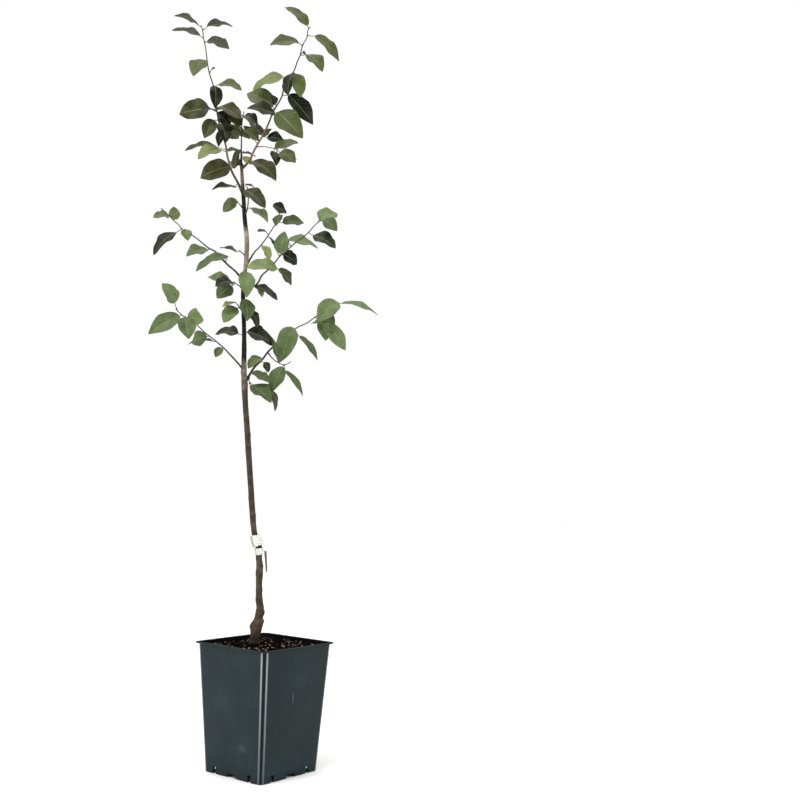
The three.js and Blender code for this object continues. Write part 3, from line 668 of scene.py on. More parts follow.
# nine bud scars climb the shoot in a spiral, 32 mm apart, along the line that the shoot leans on
SCARS, FIRST_SCAR, SCAR_STEP, SCAR_TURN, STEM_RADIUS = 9, 500, 32, 2.4, 6
LEAN_FROM, LEAN_ACROSS, LEAN, GRAFT_TOP = 494, -32.2, 0.0985, 440
STOCK_ROUGH, SHOOT_ROUGH, LARGE_BUMP, SMALL_BUMP = 0.6, 0.25, 13, 5
for number in range(SCARS):
    up = FIRST_SCAR + SCAR_STEP * number
    lean = LEAN_ACROSS - LEAN * (up - LEAN_FROM)
    angle = SCAR_TURN * number + 0.4
    around, behind = STEM_RADIUS * math.cos(angle), STEM_RADIUS * math.sin(angle)
    KNOBS.append((lean + around, up, behind - 1, 0.9, 3.6))
bm.normal_update()
for vert in bm.verts:
    rough = STOCK_ROUGH if vert.co.z < GRAFT_TOP else SHOOT_ROUGH
    bumps = noise.noise(vert.co / LARGE_BUMP) + 0.5 * noise.noise(vert.co / SMALL_BUMP)
    push = rough * bumps
    for across, up, away, stands, wide in KNOBS:
        gap = (vert.co - place(across, up, away)).length
        push += stands * math.exp(-((gap / wide) ** 2))
    vert.co += vert.normal * push
make_piece("stem", bm, [bark_look], "trunk", 60)

# %% [markdown]
# ## The graft's tape and tie
# The scion was set on the root stock and bound with many turns of white polyethylene film, which
# stretches, wrinkles and overlaps like a bandage. The turns can't be seen one by one at this
# distance, but their edges catch the light, so the roll is a tube with slanting steps and
# wrinkles. One end of a dark plastic tie, cut to a point, hangs from the turn below. Both shine
# softly. The film's creases are 5 mm long and the lines along the tie 1.4 mm wide, drawn coarse
# enough to show. These materials, and some of the leaves', have a colour that wanders in spots.

# %% Film and tie materials
def spotted_look(name, scale, detail, stops, stretch=None):
    """A material whose colour wanders in spots: itself, its place, its spots and its colour."""
    look = new_look(name)
    at = add(look, "TexCoord").outputs["Object"]
    spots_at = add(look, "Mapping", {"Scale": stretch, "Vector": at}) if stretch else at
    spots = add(look, "TexNoise", {"Scale": scale, "Detail": detail, "Vector": spots_at})
    return look, at, spots, add(look, "ValToRGB", {"Fac": spots}, stops=stops)


# the film's colour is greyer in the hollows of its creases, a painted shade
film_look, film_at, creases, film_crease_shade_colour = spotted_look(
    "wound polyethylene film", 210, 3, [(0.33, "#bab7a8"), (0.55, "#e2e0d6")], stretch=(1, 1, 3)
)
# the side of the roll where the free end lies gets a painted shade
across_roll = {1: (0.7071, 0.7071, 0.3), 0: film_at}
leaning = add(film_look, "VectorMath", across_roll, operation="DOT_PRODUCT").outputs["Value"]
painted_shade_side = add(film_look, "MapRange", {1: 0.106, 2: 0.1025, 3: 0, 4: 0.75, 0: leaning})
film_with_painted_shade = add(film_look, "MixRGB", {"Color2": "#5d5a50", "Fac": painted_shade_side, "Color1": film_crease_shade_colour})
glossy = {"Roughness": 0.38, "IOR": 1.5, "Base Color": film_with_painted_shade}
finish_look(film_look, glossy, relief=(creases, 0.5, 0.0008))

tie_look, _, tie_lines, tie_colour = spotted_look(
    "cut grey plastic strip", 700, 2, [(0.35, "#3a3635"), (0.7, "#665f5c")], stretch=(1, 1, 0.15)
)
cut_plastic = {"Roughness": 0.42, "IOR": 1.49, "Base Color": tie_colour}
finish_look(tie_look, cut_plastic, relief=(tie_lines, 0.3, 0.0004))


# %% Tape roll and lower turn
LARGE_WRINKLE, SMALL_WRINKLE, WRINKLE_HEIGHT = 4.5, 1.8, 0.6


def wind(name, node, stations, pitch, step):
    """A roll of film: a fat tube whose turns overlap in slanting steps, with wrinkles."""
    roll = strand_through(stations)
    bm = tubes([roll], 56, 10)
    bm.normal_update()
    middle = roll[0][len(stations) // 2]
    for vert in bm.verts:
        out = vert.co - middle
        angle = math.atan2(out.y, out.x) / (2 * math.pi)
        turn = (vert.co.z / pitch + angle + 0.12 * math.sin(2 * math.pi * angle)) % 1
        wrinkle = 0.5 * noise.noise(vert.co / LARGE_WRINKLE)
        wrinkle += 0.2 * noise.noise(vert.co / SMALL_WRINKLE)
        vert.co += vert.normal * (step * (turn - 0.6) + WRINKLE_HEIGHT * wrinkle)
    make_piece(name, bm, [film_look], node, 50)


TAPE_ROLL = [
    (-19.8, 438.8, 3, 7.5), (-20.1, 439.6, 3, 10.6), (-20.7, 441.4, 3, 11.2),
    (-23.1, 449.5, 3, 11.3), (-25.6, 458, 3, 11.2), (-26.1, 459.6, 3, 10.6), (-26.3, 460.4, 3, 7.5),
]
LOWER_WRAP = [(-17.2, 421.5, 4, 7.3), (-17.9, 428, 4, 8), (-18.9, 434.5, 4, 9.3)]
wind("graft_tape_roll", "graft_tape", TAPE_ROLL, 5.2, 0.9)
wind("lower_tape_turns", "lower_wrap", LOWER_WRAP, 4.0, 0.8)

# %% Tie
TIE_HEAD, TIE_THICKNESS, TIE_LEAN = place(-5.2, 428.5, 2), 1.2, -0.09
# the strip's edge from its head to its point and back, in mm
TIE_EDGE = [
    (-2.3, 1), (-2.3, -5), (-1.6, -38), (-0.3, -43), (0.3, -43), (1.6, -38), (2.3, -7), (2.3, 1),
]
bm = bmesh.new()
strip = bm.faces.new([bm.verts.new((x, 0, y)) for x, y in TIE_EDGE])
back = bmesh.ops.extrude_face_region(bm, geom=[strip])["geom"]
bmesh.ops.translate(bm, vec=(0, -TIE_THICKNESS, 0), verts=grown_points(back))
for vert in bm.verts:
    vert.co += TIE_HEAD + Vector((TIE_LEAN * vert.co.z, 0, 0))
bmesh.ops.recalc_face_normals(bm, faces=bm.faces)
round_edges(bm, bm.edges[:], 0.25, 2)
make_piece("tie_tail", bm, [tie_look], "graft_tie")
strand = strand_through([(-10.5, 429.6, 3, 1), (-8, 429.4, 2, 1), (-4.8, 427.8, 1.6, 0.9)])
bm = tubes([strand], 10, 8)
make_piece("tie_strand", bm, [film_look], "graft_tie", 60)

# %% [markdown]
# ## Leaves
# A persimmon leaf is leathery and waxed: dark to yellowish green above with a pale midrib and seven
# or eight pairs of arched side veins, paler and matt below. Each leaf is one sheet with its
# own map: one way across the blade and the other from foot to tip, so that one material can draw
# the veins on every leaf. Its tone is an attribute that holds its own green and painted light
# together: dark is painted shade on a leaf that lies in shade, light or yellow is painted sunlight.
# The leaves at the top turn browner. The wax gives broad soft lights, more in some blotches, 14 mm
# wide, than in others. The finest net of veins is below a millimetre on a real leaf and is drawn
# at 2.6 mm, because it wouldn't show.

# %% Veins of a leaf
SIDE_VEINS = 7.5
leaf_look = new_look("waxed persimmon leaf")
leaf_map = add(leaf_look, "UVMap", uv_map="blade")
parts = add(leaf_look, "SeparateXYZ", {0: leaf_map})
along_blade = parts.outputs["Y"]
centred = add(leaf_look, "Math", {1: 0.5, 0: parts.outputs["X"]}, operation="SUBTRACT")
beside = add(leaf_look, "Math", {0: centred}, operation="ABSOLUTE")
arched = add(leaf_look, "Math", {1: 0.8, 0: beside}, operation="POWER")
sloped = add(leaf_look, "Math", {1: -0.52, 0: arched, 2: along_blade}, operation="MULTIPLY_ADD")
leaf_at = add(leaf_look, "TexCoord").outputs["Object"]
wander = add(leaf_look, "TexNoise", {"Scale": 60, "Detail": 2, "Vector": leaf_at})
wobbled = add(leaf_look, "Math", {1: 0.03, 0: wander, 2: sloped}, operation="MULTIPLY_ADD")
counted = add(leaf_look, "Math", {1: SIDE_VEINS, 0: wobbled}, operation="MULTIPLY")
between = add(leaf_look, "Math", {0: counted}, operation="FRACT")
from_middle = add(leaf_look, "Math", {1: 0.5, 0: between}, operation="SUBTRACT")
off_vein = add(leaf_look, "Math", {0: from_middle}, operation="ABSOLUTE")
soft = {"interpolation_type": "SMOOTHSTEP"}
side_veins = add(leaf_look, "MapRange", {1: 0.38, 2: 0.5, 0: off_vein}, **soft)
midrib = add(leaf_look, "MapRange", {1: 0.035, 2: 0.008, 0: beside}, **soft)
veins = add(leaf_look, "Math", {0: side_veins, 1: midrib}, operation="MAXIMUM")
vein_tint = add(leaf_look, "Math", {1: 0.3, 0: side_veins, 2: midrib}, operation="MULTIPLY_ADD")
vein_share = add(leaf_look, "Math", {1: 0.42, 0: vein_tint}, operation="MULTIPLY", use_clamp=True)
print("veins drawn with", len(leaf_look.node_tree.nodes), "nodes")

# %% Greens and wax of a leaf
# greens from dark to yellow: the leaf's own green with painted shade at the dark end and painted
# sunlight at the light end
GREENS_AND_PAINTED_LIGHT = [
    (0.05, "#141c0d"), (0.28, "#3f452a"), (0.52, "#4b5937"), (0.78, "#687a4e"), (1, "#929a5b"),
]
leaf_tone_and_painted_light = add(leaf_look, "Attribute", attribute_name="tone").outputs["Fac"]
blotches = add(leaf_look, "TexNoise", {"Scale": 70, "Detail": 2, "Vector": leaf_at})
tone_shift = add(leaf_look, "MapRange", {1: 0.3, 2: 0.7, 3: -0.07, 4: 0.07, 0: blotches})
both = {0: leaf_tone_and_painted_light, 1: tone_shift}
shaded_tone = add(leaf_look, "Math", both, operation="ADD", use_clamp=True)
leaf_green = add(leaf_look, "ValToRGB", {"Fac": shaded_tone}, stops=GREENS_AND_PAINTED_LIGHT)
veined = {"Color2": "#8c9c66", "Fac": vein_share, "Color1": leaf_green}
leaf_colour = add(leaf_look, "MixRGB", veined)
# the leaves at the top are browner and darker
leaf_height = add(leaf_look, "SeparateXYZ", {0: leaf_at}).outputs["Z"]
browned = add(leaf_look, "MapRange", {1: 1.05, 2: 1.25, 0: leaf_height})
brown = {"Color2": (0.97, 0.82, 0.74, 1), "Fac": browned, "Color1": leaf_colour}
crown = add(leaf_look, "MixRGB", brown, blend_type="MULTIPLY")
fine = {"Scale": 380, "Vector": leaf_at}
net = add(leaf_look, "TexVoronoi", fine, feature="DISTANCE_TO_EDGE").outputs["Distance"]
leaf_relief = add(leaf_look, "Math", {1: -0.15, 0: net, 2: veins}, operation="MULTIPLY_ADD")
wax = add(leaf_look, "MapRange", {1: 0.3, 2: 0.7, 3: 0.3, 4: 0.46, 0: blotches})
waxed = {"IOR": 1.45, "Specular IOR Level": 0.17, "Base Color": crown, "Roughness": wax}
finish_look(leaf_look, waxed, relief=(leaf_relief, 0.35, 0.0008), invert=True)

# the underside is painted darker than the upper side, a painted shade; a real leaf is paler below
below_look, _, below_spots, underside_painted_shade_colour = spotted_look(
    "matt underside of a leaf", 120, 3, [(0.35, "#353829"), (0.65, "#4b4e3a")]
)
dull = {"Roughness": 0.7, "Specular IOR Level": 0.3, "Base Color": underside_painted_shade_colour}
finish_look(below_look, dull, relief=(below_spots, 0.3, 0.0005))

# %% [markdown]
# The twigs are this year's and last year's wood, thin, dark brown and nearly matt, in spots of
# 4 mm. The leaf stalks are green and smooth, so they shine a little.

# %% Twig, stalk and bud materials
twig_look, twig_at, twig_spots, twig_colour = spotted_look(
    "thin dark twig bark", 260, 4, [(0.32, "#2a211b"), (0.55, "#43372c"), (0.75, "#6a5a4a")]
)
# the two leaders just over the fork are painted tan, a painted sunlit patch
twig_height = add(twig_look, "SeparateXYZ", {0: twig_at}).outputs["Z"]
over_fork = add(twig_look, "MapRange", {1: 1.2, 2: 1.23, 3: 0, 4: 0.75, 0: twig_height})
under_crown = add(twig_look, "MapRange", {1: 1.31, 2: 1.27, 0: twig_height})
painted_sun_share = add(twig_look, "Math", {0: over_fork, 1: under_crown}, operation="MULTIPLY")
twig_with_painted_sun = add(twig_look, "MixRGB", {"Color2": "#8b6f5c", "Fac": painted_sun_share, "Color1": twig_colour})
woody = {"Roughness": 0.6, "Specular IOR Level": 0.25, "Base Color": twig_with_painted_sun}
finish_look(twig_look, woody, relief=(twig_spots, 0.4, 0.0005))

stalk_look, _, _, stalk_colour = spotted_look(
    "green leaf stalk", 180, 2, [(0.35, "#4f5c34"), (0.65, "#7c8650")]
)
finish_look(stalk_look, {"Roughness": 0.45, "IOR": 1.45, "Base Color": stalk_colour})

# %% [markdown]
# ## One leaf
# A leaf folds a little along its midrib, arches from foot to tip, and its edge ripples. A flat
# grid is laid out first, finest at the foot and the tip, and then every point of it is
# moved: out to the blade's outline, up into the arch, the fold and the ripple, and down a hair
# between two side veins. Extruding the sheet gives it the thickness of a real leaf, half a
# millimetre, and a separate underside.

# %% Blade helpers
# shares of the leaf's width or length, and the hollow between two veins in mm
HALF_WIDTH, FOLD, TWIST, RIPPLE, ARCH, HOLLOW = 0.56, 0.24, 0.14, 0.022, 0.35, 0.22


def leaf_axes(foot, tip, turn):
    """Directions along the blade, out of its upper side, and across it."""
    axis = (tip - foot).normalized()
    facing = EYE - foot
    facing = (facing - axis * facing.dot(axis)).normalized()
    skyward = facing.cross(axis)
    if skyward.z < 0:
        skyward.negate()
    normal = facing * math.cos(math.radians(turn)) + skyward * math.sin(math.radians(turn))
    return axis, normal, axis.cross(normal)


def blade_outline(t):
    """Share of the half width at t along the blade: 1 two fifths up, thin at the tip."""
    return max(0.03, 2.744 * t**0.6 * (1 - t) ** 0.9)


def blade_point(leaf, across, t):
    """A point of the blade's upper side, in mm."""
    foot, length, width, number = leaf["foot"], leaf["length"], leaf["width"], leaf["number"]
    axis, normal, side = leaf["axes"]
    reach = HALF_WIDTH * width * across * blade_outline(t)
    # the leaf's number sets where its twist and its ripple begin, so no two leaves are alike
    lift = FOLD * abs(reach) + TWIST * reach * math.sin(9.5 * t + 2.4 * number)
    waves = math.sin(21 * t + 1.7 * number + (1.4 if across > 0 else 0))
    ripple = RIPPLE * width * across**2 * waves
    veins = SIDE_VEINS * (t - 0.3 * abs(across) ** 0.8)
    near_edge = min(1, 3 * abs(across))
    hollow = -HOLLOW * math.cos(2 * math.pi * veins) * near_edge * blade_outline(t)
    sweep = leaf["sweep"] * length * t * (1 - t)
    point = foot + axis * length * t + side * (reach + sweep)
    arch = ARCH * length * t * (1 - t)
    return point + normal * (arch + lift + ripple * math.sin(math.pi * t) + hollow)


print("half width at a blade's middle:", round(HALF_WIDTH * blade_outline(0.5), 2))


# %% Sheets with a thickness
GRID_ACROSS, GRID_ALONG, LEAF_THICKNESS = 14, 26, 0.55


def add_blade(bm, layers, leaf):
    """Adds one leaf's upper sheet to a bmesh."""
    uv_layer, tone_layer = layers
    grid = bmesh.ops.create_grid(bm, x_segments=GRID_ACROSS, y_segments=GRID_ALONG, size=1)
    marks = {}
    for vert in grid["verts"]:
        marks[vert] = (vert.co.x, 0.5 - 0.5 * math.cos(math.pi * (vert.co.y + 1) / 2))
    for face in {face for vert in marks for face in vert.link_faces}:
        for loop in face.loops:
            across, t = marks[loop.vert]
            loop[uv_layer].uv = ((across + 1) / 2, t)
    for vert, (across, t) in marks.items():
        vert.co = blade_point(leaf, across, t)
        vert[tone_layer] = leaf["tone"]


def thicken(bm):
    """Gives the sheets their thickness; what was laid out is the upper side."""
    bm.normal_update()
    upper = bm.faces[:]
    for vert in grown_points(bmesh.ops.extrude_face_region(bm, geom=upper)["geom"]):
        vert.co -= vert.normal * LEAF_THICKNESS
    for face in bm.faces:
        face.material_index = 1
    for face in upper:
        face.material_index = 0
    bmesh.ops.recalc_face_normals(bm, faces=bm.faces)


print("a leaf has", GRID_ACROSS * GRID_ALONG, "faces a side")

# %% [markdown]
# ## The shoots
# Each shoot is a twig or two with its leaves. The stalk of a leaf leaves the twig just under the
# leaf's foot, with a small bud in the angle, and runs on under the blade as its midrib. A
# table gives all shoots, and two functions build them: the wood as tubes, and the blades as sheets.

# %% Table of the crown
# twigs: thick and thin radius, then points, each across, up and away
# leaves: foot, tip, how much farther away the tip is, width, turn of the blade, tone (its own
# green with painted shade or painted sunlight)
SHOOTS = {}
SHOOTS["left_leader"] = [(3, 1, [
    (-73.5, 1150, -2), (-86, 1175, 6), (-98, 1196, 12), (-104, 1213, 16), (-109, 1231, 20),
    (-113, 1252, 24), (-119, 1268, 27), (-126, 1290, 30), (-131, 1312, 33), (-136, 1336, 36),
    (-139, 1355, 38), (-142.5, 1375, 40), (-148, 1390, 41), (-153, 1407, 42), (-155, 1418, 43),
    (-160.5, 1452, 44), (-165, 1471, 45), (-167.6, 1487, 45), (-171, 1497, 46),
])], [
    (-176, 1498, -226, 1514, 25, 26, 112, "dark"), (-172, 1476, -230, 1483, -12, 28, 110, "dark"),
    (-159, 1497, -107, 1500, -15, 28, 112, "dark"), (-157, 1467, -112, 1452, 30, 34, 124, "mid"),
    (-163, 1426, -183, 1390, -30, 34, 35, "mid"), (-147, 1407, -139, 1410, -6, 7, 60, "mid"),
    (-131, 1377, -84, 1367, -30, 30, 60, "mid"), (-138, 1372, -137, 1326, -22, 26, 20, "dark"),
    (-149, 1326, -208, 1309, 22, 42, 28, "olive"), (-128, 1330, -84, 1306, -38, 42, 55, "olive"),
    (-141, 1323, -163, 1319, -32, 28, 65, "dark"), (-140, 1302, -156, 1262, -12, 28, 15, "olive"),
    (-124, 1294, -112, 1256, -28, 30, 25, "dark"), (-116, 1288, -86, 1266, 24, 28, 30, "light"),
    (-128, 1245, -194, 1234, 30, 30, 108, "dark"), (-123, 1241, -167, 1218, -32, 36, 55, "light"),
    (-102, 1206, -161, 1179, 15, 40, 25, "olive"), (-89, 1164, -137, 1156, -28, 28, 74, "dark"),
    (-131, 1318, -104, 1288, 14, 30, 40, "dark"), (-112, 1239, -83, 1240, -14, 13, 60, "mid"),
    (-98, 1205, -80, 1222, -12, 20, 40, "olive"), (-117, 1284, -63, 1266, -10, 24, 44, "mid"),
    (-119, 1284, -127, 1246, -8, 18, 30, "dark"), (-98, 1219, -74, 1206, -20, 14, 50, "olive"),
]
SHOOTS["right_leader"] = [(3, 1, [
    (-79, 1203, -2), (-70, 1212, -6), (-62, 1224, -10), (-57, 1237, -14), (-51, 1250, -18),
    (-45, 1262, -22), (-37, 1277, -26), (-31, 1291, -30), (-25, 1307, -33), (-20, 1322, -36),
    (-13, 1337, -39), (-3, 1356, -42), (2, 1376, -45), (8, 1395, -47), (20, 1412, -50),
    (28, 1436, -53), (33, 1449, -55), (36.5, 1466, -57), (40, 1476, -58), (45.7, 1487, -60),
    (48, 1504, -62), (52, 1511, -63),
]), (1.3, 0.9, [
    (-51, 1250, -18), (-35, 1252, -24), (-20, 1250, -30), (-6, 1248, -34),
])], [
    (47, 1513, -1, 1549, 20, 25, 50, "mid"), (29, 1477, -30, 1466, -25, 31, 55, "mid"),
    (63, 1493, 114, 1441, 25, 30, 52, "mid"), (50, 1452, 80, 1417, -25, 32, 45, "mid"),
    (38, 1456, 45, 1450, 10, 9, 60, "mid"), (0, 1401, -62, 1369, 25, 34, 60, "light"),
    (-19, 1337, -73, 1361, 45, 38, 30, "mid"), (-14, 1342, -24, 1361, -20, 14, 30, "dark"),
    (19, 1410, 11, 1362, -18, 30, 50, "dark"), (20, 1409, 37, 1360, 5, 30, 25, "light"),
    (12, 1364, 64, 1304, 28, 38, 35, "dark"), (-9, 1326, 44, 1274, -28, 44, 20, "mid"),
    (-14, 1320, -72, 1330, -10, 34, 56, "dark"), (-29, 1272, 4, 1268, -8, 24, 40, "dark"),
    (-12, 1250, 35, 1265, 30, 26, 52, "light"), (-2, 1242, 31, 1222, -20, 30, 35, "mid"),
    (-14, 1243, -9, 1213, -24, 20, 30, "dark"), (-46, 1265, -78, 1283, -20, 28, 50, "mid"),
    (-55, 1221, -8, 1182, -25, 38, 42, "olive"), (-40, 1276, -66, 1292, 40, 22, 45, "dark"),
    (-54, 1265, -78, 1293, 12, 22, 40, "olive"), (-37, 1272, -20, 1290, -10, 15, 50, "olive"),
    (-4, 1230, 34, 1229, -14, 13, 96, "light"),
]
SHOOTS["central_leader"] = [(2.3, 0.9, [
    (-79.6, 1205, -2), (-80.5, 1235, -1), (-81, 1263, 0), (-81, 1298, 1), (-78, 1323, 2),
])], [
    (-75, 1316, -47, 1292, 20, 30, 62, "dark"), (-84, 1316, -52, 1277, -22, 26, 70, "olive"),
    (-78, 1236, -51, 1229, 22, 20, 86, "dark"), (-84, 1243, -91, 1205, -16, 18, 45, "dark"),
    (-86, 1290, -108, 1319, 10, 25, 38, "olive"), (-76, 1228, -59, 1212, -8, 18, 45, "yellow"),
]
SHOOTS["upper_right_spur"] = [(1.8, 1, [
    (-69.5, 1105, -1), (-65, 1118, -8), (-63, 1136, -13), (-64, 1156, -16), (-65, 1164, -17),
])], [
    (-59, 1123, -22, 1095, -28, 30, 62, "light"), (-70, 1160, -28, 1124, -22, 36, 45, "olive"),
    (-70, 1170, -50, 1165, 12, 14, 80, "dark"),
]
SHOOTS["upper_left_spur"] = [(1.6, 1, [
    (-71, 1118, -1), (-79, 1128, 8), (-86, 1134, 14),
])], [
    (-87, 1139, -113, 1112, 18, 23, 25, "mid"),
]
print(len(SHOOTS), "shoots read")

# %% Table of the middle shoots
SHOOTS["inner_right_branch"] = [(2, 1, [
    (-62, 1004, 0), (-46, 1033, 12), (-38, 1042, 17), (-24, 1062, 26), (-10, 1086, 36),
    (1, 1106, 44), (-1, 1120, 48),
])], [
    (-13, 1130, 16, 1116, 20, 26, 50, "dark"), (4, 1112, -5, 1088, -18, 20, 40, "mid"),
    (8, 1096, 52, 1097, 18, 30, 52, "mid"), (-24, 1075, -43, 1075, -14, 14, 70, "olive"),
    (-29, 1046, -17, 1016, -16, 20, 40, "yellow"),
]
SHOOTS["middle_right_branch"] = [(2.4, 1, [
    (-66, 943, 0), (-52, 957, -8), (-38, 969, -16), (-31, 984, -22), (-15, 1000, -32),
    (-4, 1014, -40), (4, 1025, -45), (18, 1038, -54), (35, 1055, -65), (53, 1070, -76),
    (61, 1078, -81), (74, 1094, -90), (85, 1105, -96),
])], [
    (0, 1001, -62, 999, -20, 34, 50, "light"), (6, 1031, 13, 1078, -12, 27, 15, "mid"),
    (-5, 1044, -21, 1066, 8, 10, 60, "dark"), (20, 1060, 82, 1046, 20, 30, 62, "light"),
    (11, 1030, 40, 1011, 20, 29, 40, "dark"), (3, 1000, 30, 967, 18, 28, 55, "olive"),
    (72, 1073, 118, 1048, -20, 35, 50, "dark"), (83, 1104, 119, 1121, 25, 38, 48, "light"),
    (92, 1106, 120, 1084, -8, 24, 25, "mid"), (-45, 963, 3, 935, -20, 28, 62, "dark"),
    (-34, 960, -28, 940, -14, 12, 20, "yellow"),
]
SHOOTS["middle_left_branch"] = [(2.6, 1, [
    (-66, 970, 0), (-83, 990, 12), (-99, 1003, 22), (-112, 1015, 31), (-125, 1029, 40),
    (-139, 1036, 50), (-150, 1044, 58), (-160, 1052, 65), (-170, 1059, 72), (-194, 1073, 88),
    (-200, 1080, 92), (-213, 1091, 100), (-225, 1103, 108), (-236.9, 1113, 114),
])], [
    (-220, 1098, -252, 1093, -15, 28, 60, "mid"), (-221, 1104, -198, 1101, 20, 25, 20, "light"),
    (-205, 1065, -248, 1016, -25, 32, 55, "dark"), (-188, 1072, -181, 1049, -10, 20, 15, "light"),
    (-141, 1033, -183, 1017, -30, 34, 55, "mid"), (-99, 1021, -163, 987, -25, 33, 62, "mid"),
]
SHOOTS["middle_left_spur"] = [(2, 1, [
    (-66.5, 955, 0), (-76, 962, -10), (-86, 968, -18),
])], [
    (-90, 970, -123, 958, -26, 30, 50, "dark"), (-96, 970, -139, 976, 14, 28, 55, "light"),
    (-90, 961, -119, 934, -3, 32, 25, "mid"),
]
SHOOTS["left_twig"] = [(1.6, 1, [
    (-63, 1022, 0), (-71, 1029, -7), (-78, 1034, -11),
])], [
    (-83, 1031, -118, 1037, -15, 24, 100, "dark"),
]
SHOOTS["front_spur"] = [(1.7, 1, [
    (-64.5, 984, 0), (-64, 992, -8), (-63, 997, -14),
])], [
    (-62, 991, -60, 938, -36, 30, 15, "light"),
]
print(len(SHOOTS), "shoots read")

# %% Table of the lower shoots
SHOOTS["lower_front_spur"] = [(1.8, 1, [
    (-65, 918, 0), (-63, 926, -9), (-60, 935, -16),
])], [
    (-62, 935, -57, 890, -16, 29, 25, "mid"), (-50, 912, -35, 877, 8, 20, 40, "dark"),
]
SHOOTS["lower_left_spur"] = [(1.6, 1, [
    (-64.5, 908, 0), (-71, 914, -5), (-77, 922, -9),
])], [
    (-79, 917, -104, 885, -10, 30, 30, "light"), (-80, 927, -108, 916, -18, 18, 70, "yellow"),
]
SHOOTS["lower_back_spur"] = [(1.8, 1, [
    (-62, 852, 0), (-63, 860, 9), (-65, 866, 15),
])], [
    (-74, 864, -120, 861, 20, 34, 62, "dark"), (-56, 869, -1, 842, 15, 42, 54, "dark"),
]
SHOOTS["lower_left_branch"] = [(2.6, 1, [
    (-60, 790, 0), (-67, 798, -5), (-81, 813, -14), (-90, 822, -22), (-101, 833, -31),
    (-122, 850, -47), (-140, 863, -61), (-159, 880, -76), (-187, 897, -92), (-200, 909, -102),
])], [
    (-202, 921, -229, 960, -15, 30, 35, "light"), (-192, 896, -251.9, 856, -18, 33, 25, "mid"),
    (-181, 893, -172, 849, -20, 32, 15, "mid"), (-176, 893, -144, 888, 21, 32, 34, "light"),
    (-136, 856, -165, 840, 15, 30, 35, "mid"), (-124, 847, -173, 838, 22, 24, 95, "dark"),
    (-106, 834, -118, 814, -10, 16, 20, "mid"),
]
SHOOTS["lower_right_branch"] = [(3, 1, [
    (-58, 762, -1), (-48, 782, 10), (-39, 797, 18), (-24, 813, 28), (-14, 828, 35), (0, 843, 43),
    (14, 857, 51), (30, 870, 60), (46, 882, 68), (65, 892, 77), (85, 908, 87), (108, 921, 97),
    (120, 929, 102), (127, 936, 106),
]), (1.4, 0.9, [
    (-14, 828, 35), (-2, 815, 28), (10, 807, 22), (21, 804, 17), (34, 811, 12),
]), (1.3, 0.9, [
    (-48, 782, 10), (-49, 772, 3), (-48, 762, -2),
])], [
    (-27, 818, -52, 794, -18, 24, 40, "light"), (-20, 808, -11, 787, 10, 16, 35, "olive"),
    (-45, 786, -8, 766, -22, 28, 55, "mid"), (-45, 760, -3, 726, -22, 40, 50, "mid"),
    (17, 800, -5, 746, -12, 30, 25, "mid"), (22, 792, 60, 742, 15, 15, 45, "mid"),
    (-5, 752, 5, 709, 14, 16, 46, "olive"), (8, 810, -12, 862, 10, 26, 60, "mid"),
    (33, 882, 11, 808, -25, 38, 12, "light"), (0, 848, 10, 815, 12, 24, 40, "dark"),
    (49, 864, 88, 815, 18, 18, 50, "mid"), (124, 938, 86, 893, -34, 39, 20, "light"),
    (92, 893, 72, 890, 10, 14, 70, "light"), (134, 935, 208.9, 913, 20, 26, 70, "light"),
    (110, 914, 103, 856, 8, 36, 20, "light"), (97, 891, 144, 838, 26, 31, 20, "light"),
]
print(len(SHOOTS), "shoots with", sum(len(rows) for _, rows in SHOOTS.values()), "leaves")


# %% Leaves of a shoot
# a tone holds the leaf's green and its painted light together: dark is painted shade, light and
# yellow are painted sunlight
TONES_AND_PAINTED_LIGHT = {"dark": 0.05, "olive": 0.28, "mid": 0.52, "light": 0.74, "yellow": 1.0}
TONE_SPREAD, SWEEP_SPREAD, STALK_DEPTH, STALK_DROP = 0.06, 0.12, 0.25, 6


def stalk_root(stems, across, up):
    """The point of the twig that lies just under a leaf's foot."""
    nearest = None
    for _, _, points in stems:
        for first, second in zip(points[1:], points[2:]):
            for share in (0, 0.25, 0.5, 0.75):
                point = Vector(first).lerp(Vector(second), share)
                gap = math.hypot(across - point.x, up - STALK_DROP - point.y)
                if nearest is None or gap < nearest[0]:
                    nearest = (gap, point)
    return nearest[1]


def read_leaf(stems, row, number, draw):
    """What the table says of one leaf, as places and directions in mm."""
    foot_across, foot_up, tip_across, tip_up, away, width, turn, tone = row
    root = stalk_root(stems, foot_across, foot_up)
    foot = place(foot_across, foot_up, root.z + STALK_DEPTH * away)
    tip = place(tip_across, tip_up, root.z + away)
    return {
        "root": place(*root),
        "foot": foot,
        "length": (tip - foot).length,
        "axes": leaf_axes(foot, tip, turn),
        "width": width,
        "number": number,
        "tone": min(1, max(0, TONES_AND_PAINTED_LIGHT[tone] + draw.uniform(-TONE_SPREAD, TONE_SPREAD))),
        "sweep": draw.uniform(-SWEEP_SPREAD, SWEEP_SPREAD),
    }


print("leaf tones:", TONES_AND_PAINTED_LIGHT)


# %% Wood of a shoot
STALK_RADII = [1.0, 0.85, 0.85, 0.7, 0.55, 0.42, 0.3, 0.15]
RIB_STATIONS = (0.04, 0.2, 0.4, 0.6, 0.8, 0.95)
TWIG_SLIMMING, TWIG_TAPER, FOOT_FLARE = 0.85, 1.6, 1.3
STALK_SAG, RIB_DEPTH = 0.04, 0.5
BUD_SIZE, BUD_OFF_TWIG, BUD_RISE = (1.1, 1.1, 1.9, 1), 1.6, 1.3


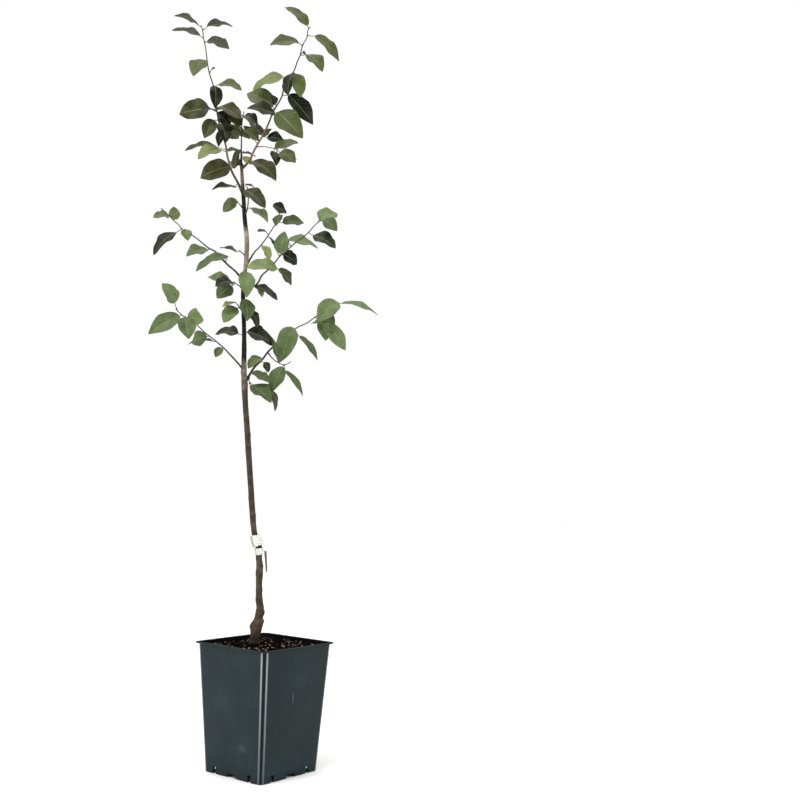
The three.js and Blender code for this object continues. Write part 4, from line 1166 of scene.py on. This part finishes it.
def wood_strands(stems, leaves):
    """Tubes for the twigs and for each leaf's stalk, which runs on as the blade's midrib."""
    strands = []
    for thick, thin, points in stems:
        last = len(points) - 1
        shares = [(1 - i / last) ** TWIG_TAPER for i in range(last + 1)]
        radii = [thin + TWIG_SLIMMING * (thick - thin) * share for share in shares]
        radii[0] *= FOOT_FLARE
        strands.append(([place(*point) for point in points], radii, 0))
    for leaf in leaves:
        root, foot, normal = leaf["root"], leaf["foot"], leaf["axes"][1]
        bow = (root + foot) / 2 - Vector((0, 0, STALK_SAG * (foot - root).length))
        rib = [blade_point(leaf, 0, t) - normal * RIB_DEPTH for t in RIB_STATIONS]
        strands.append(([root, bow, *rib], STALK_RADII, 1))
    return strands


def add_buds(bm, leaves):
    """A small pointed bud in the angle over each stalk."""
    for leaf in leaves:
        along = (leaf["foot"] - leaf["root"]).normalized()
        at = leaf["root"] + along * BUD_OFF_TWIG + Vector((0, 0, BUD_RISE))
        turn = (along + Vector((0, 0, 1))).to_track_quat("Z", "Y").to_matrix().to_4x4()
        shape = Matrix.Translation(at) @ turn @ Matrix.Diagonal(BUD_SIZE)
        bmesh.ops.create_icosphere(bm, subdivisions=2, radius=1, matrix=shape)


print("a stalk thins from", STALK_RADII[0], "to", STALK_RADII[-1], "mm")


# %% All shoots
draw = random.Random(5)
for name, (stems, rows) in SHOOTS.items():
    leaves = [read_leaf(stems, row, number, draw) for number, row in enumerate(rows)]
    bm = tubes(wood_strands(stems, leaves), 8, 5)
    add_buds(bm, leaves)
    # the central leader takes the stem's bark, whose colour at its height is a painted shade
    wood_look = bark_look if name == "central_leader" else twig_look
    make_piece(name + "_wood", bm, [wood_look, stalk_look], name, 60)
    bm = bmesh.new()
    layers = bm.loops.layers.uv.new("blade"), bm.verts.layers.float.new("tone")
    for leaf in leaves:
        add_blade(bm, layers, leaf)
    thicken(bm)
    make_piece(name + "_leaves", bm, [leaf_look, below_look], name, 50)

# %% Size and finish
low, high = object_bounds()
below = [round(1000 * (a - b), 2) for a, b in zip(cad_low, low)]
above = [round(1000 * (b - a), 2) for a, b in zip(cad_high, high)]
print("outgrown, mm:", below, above)
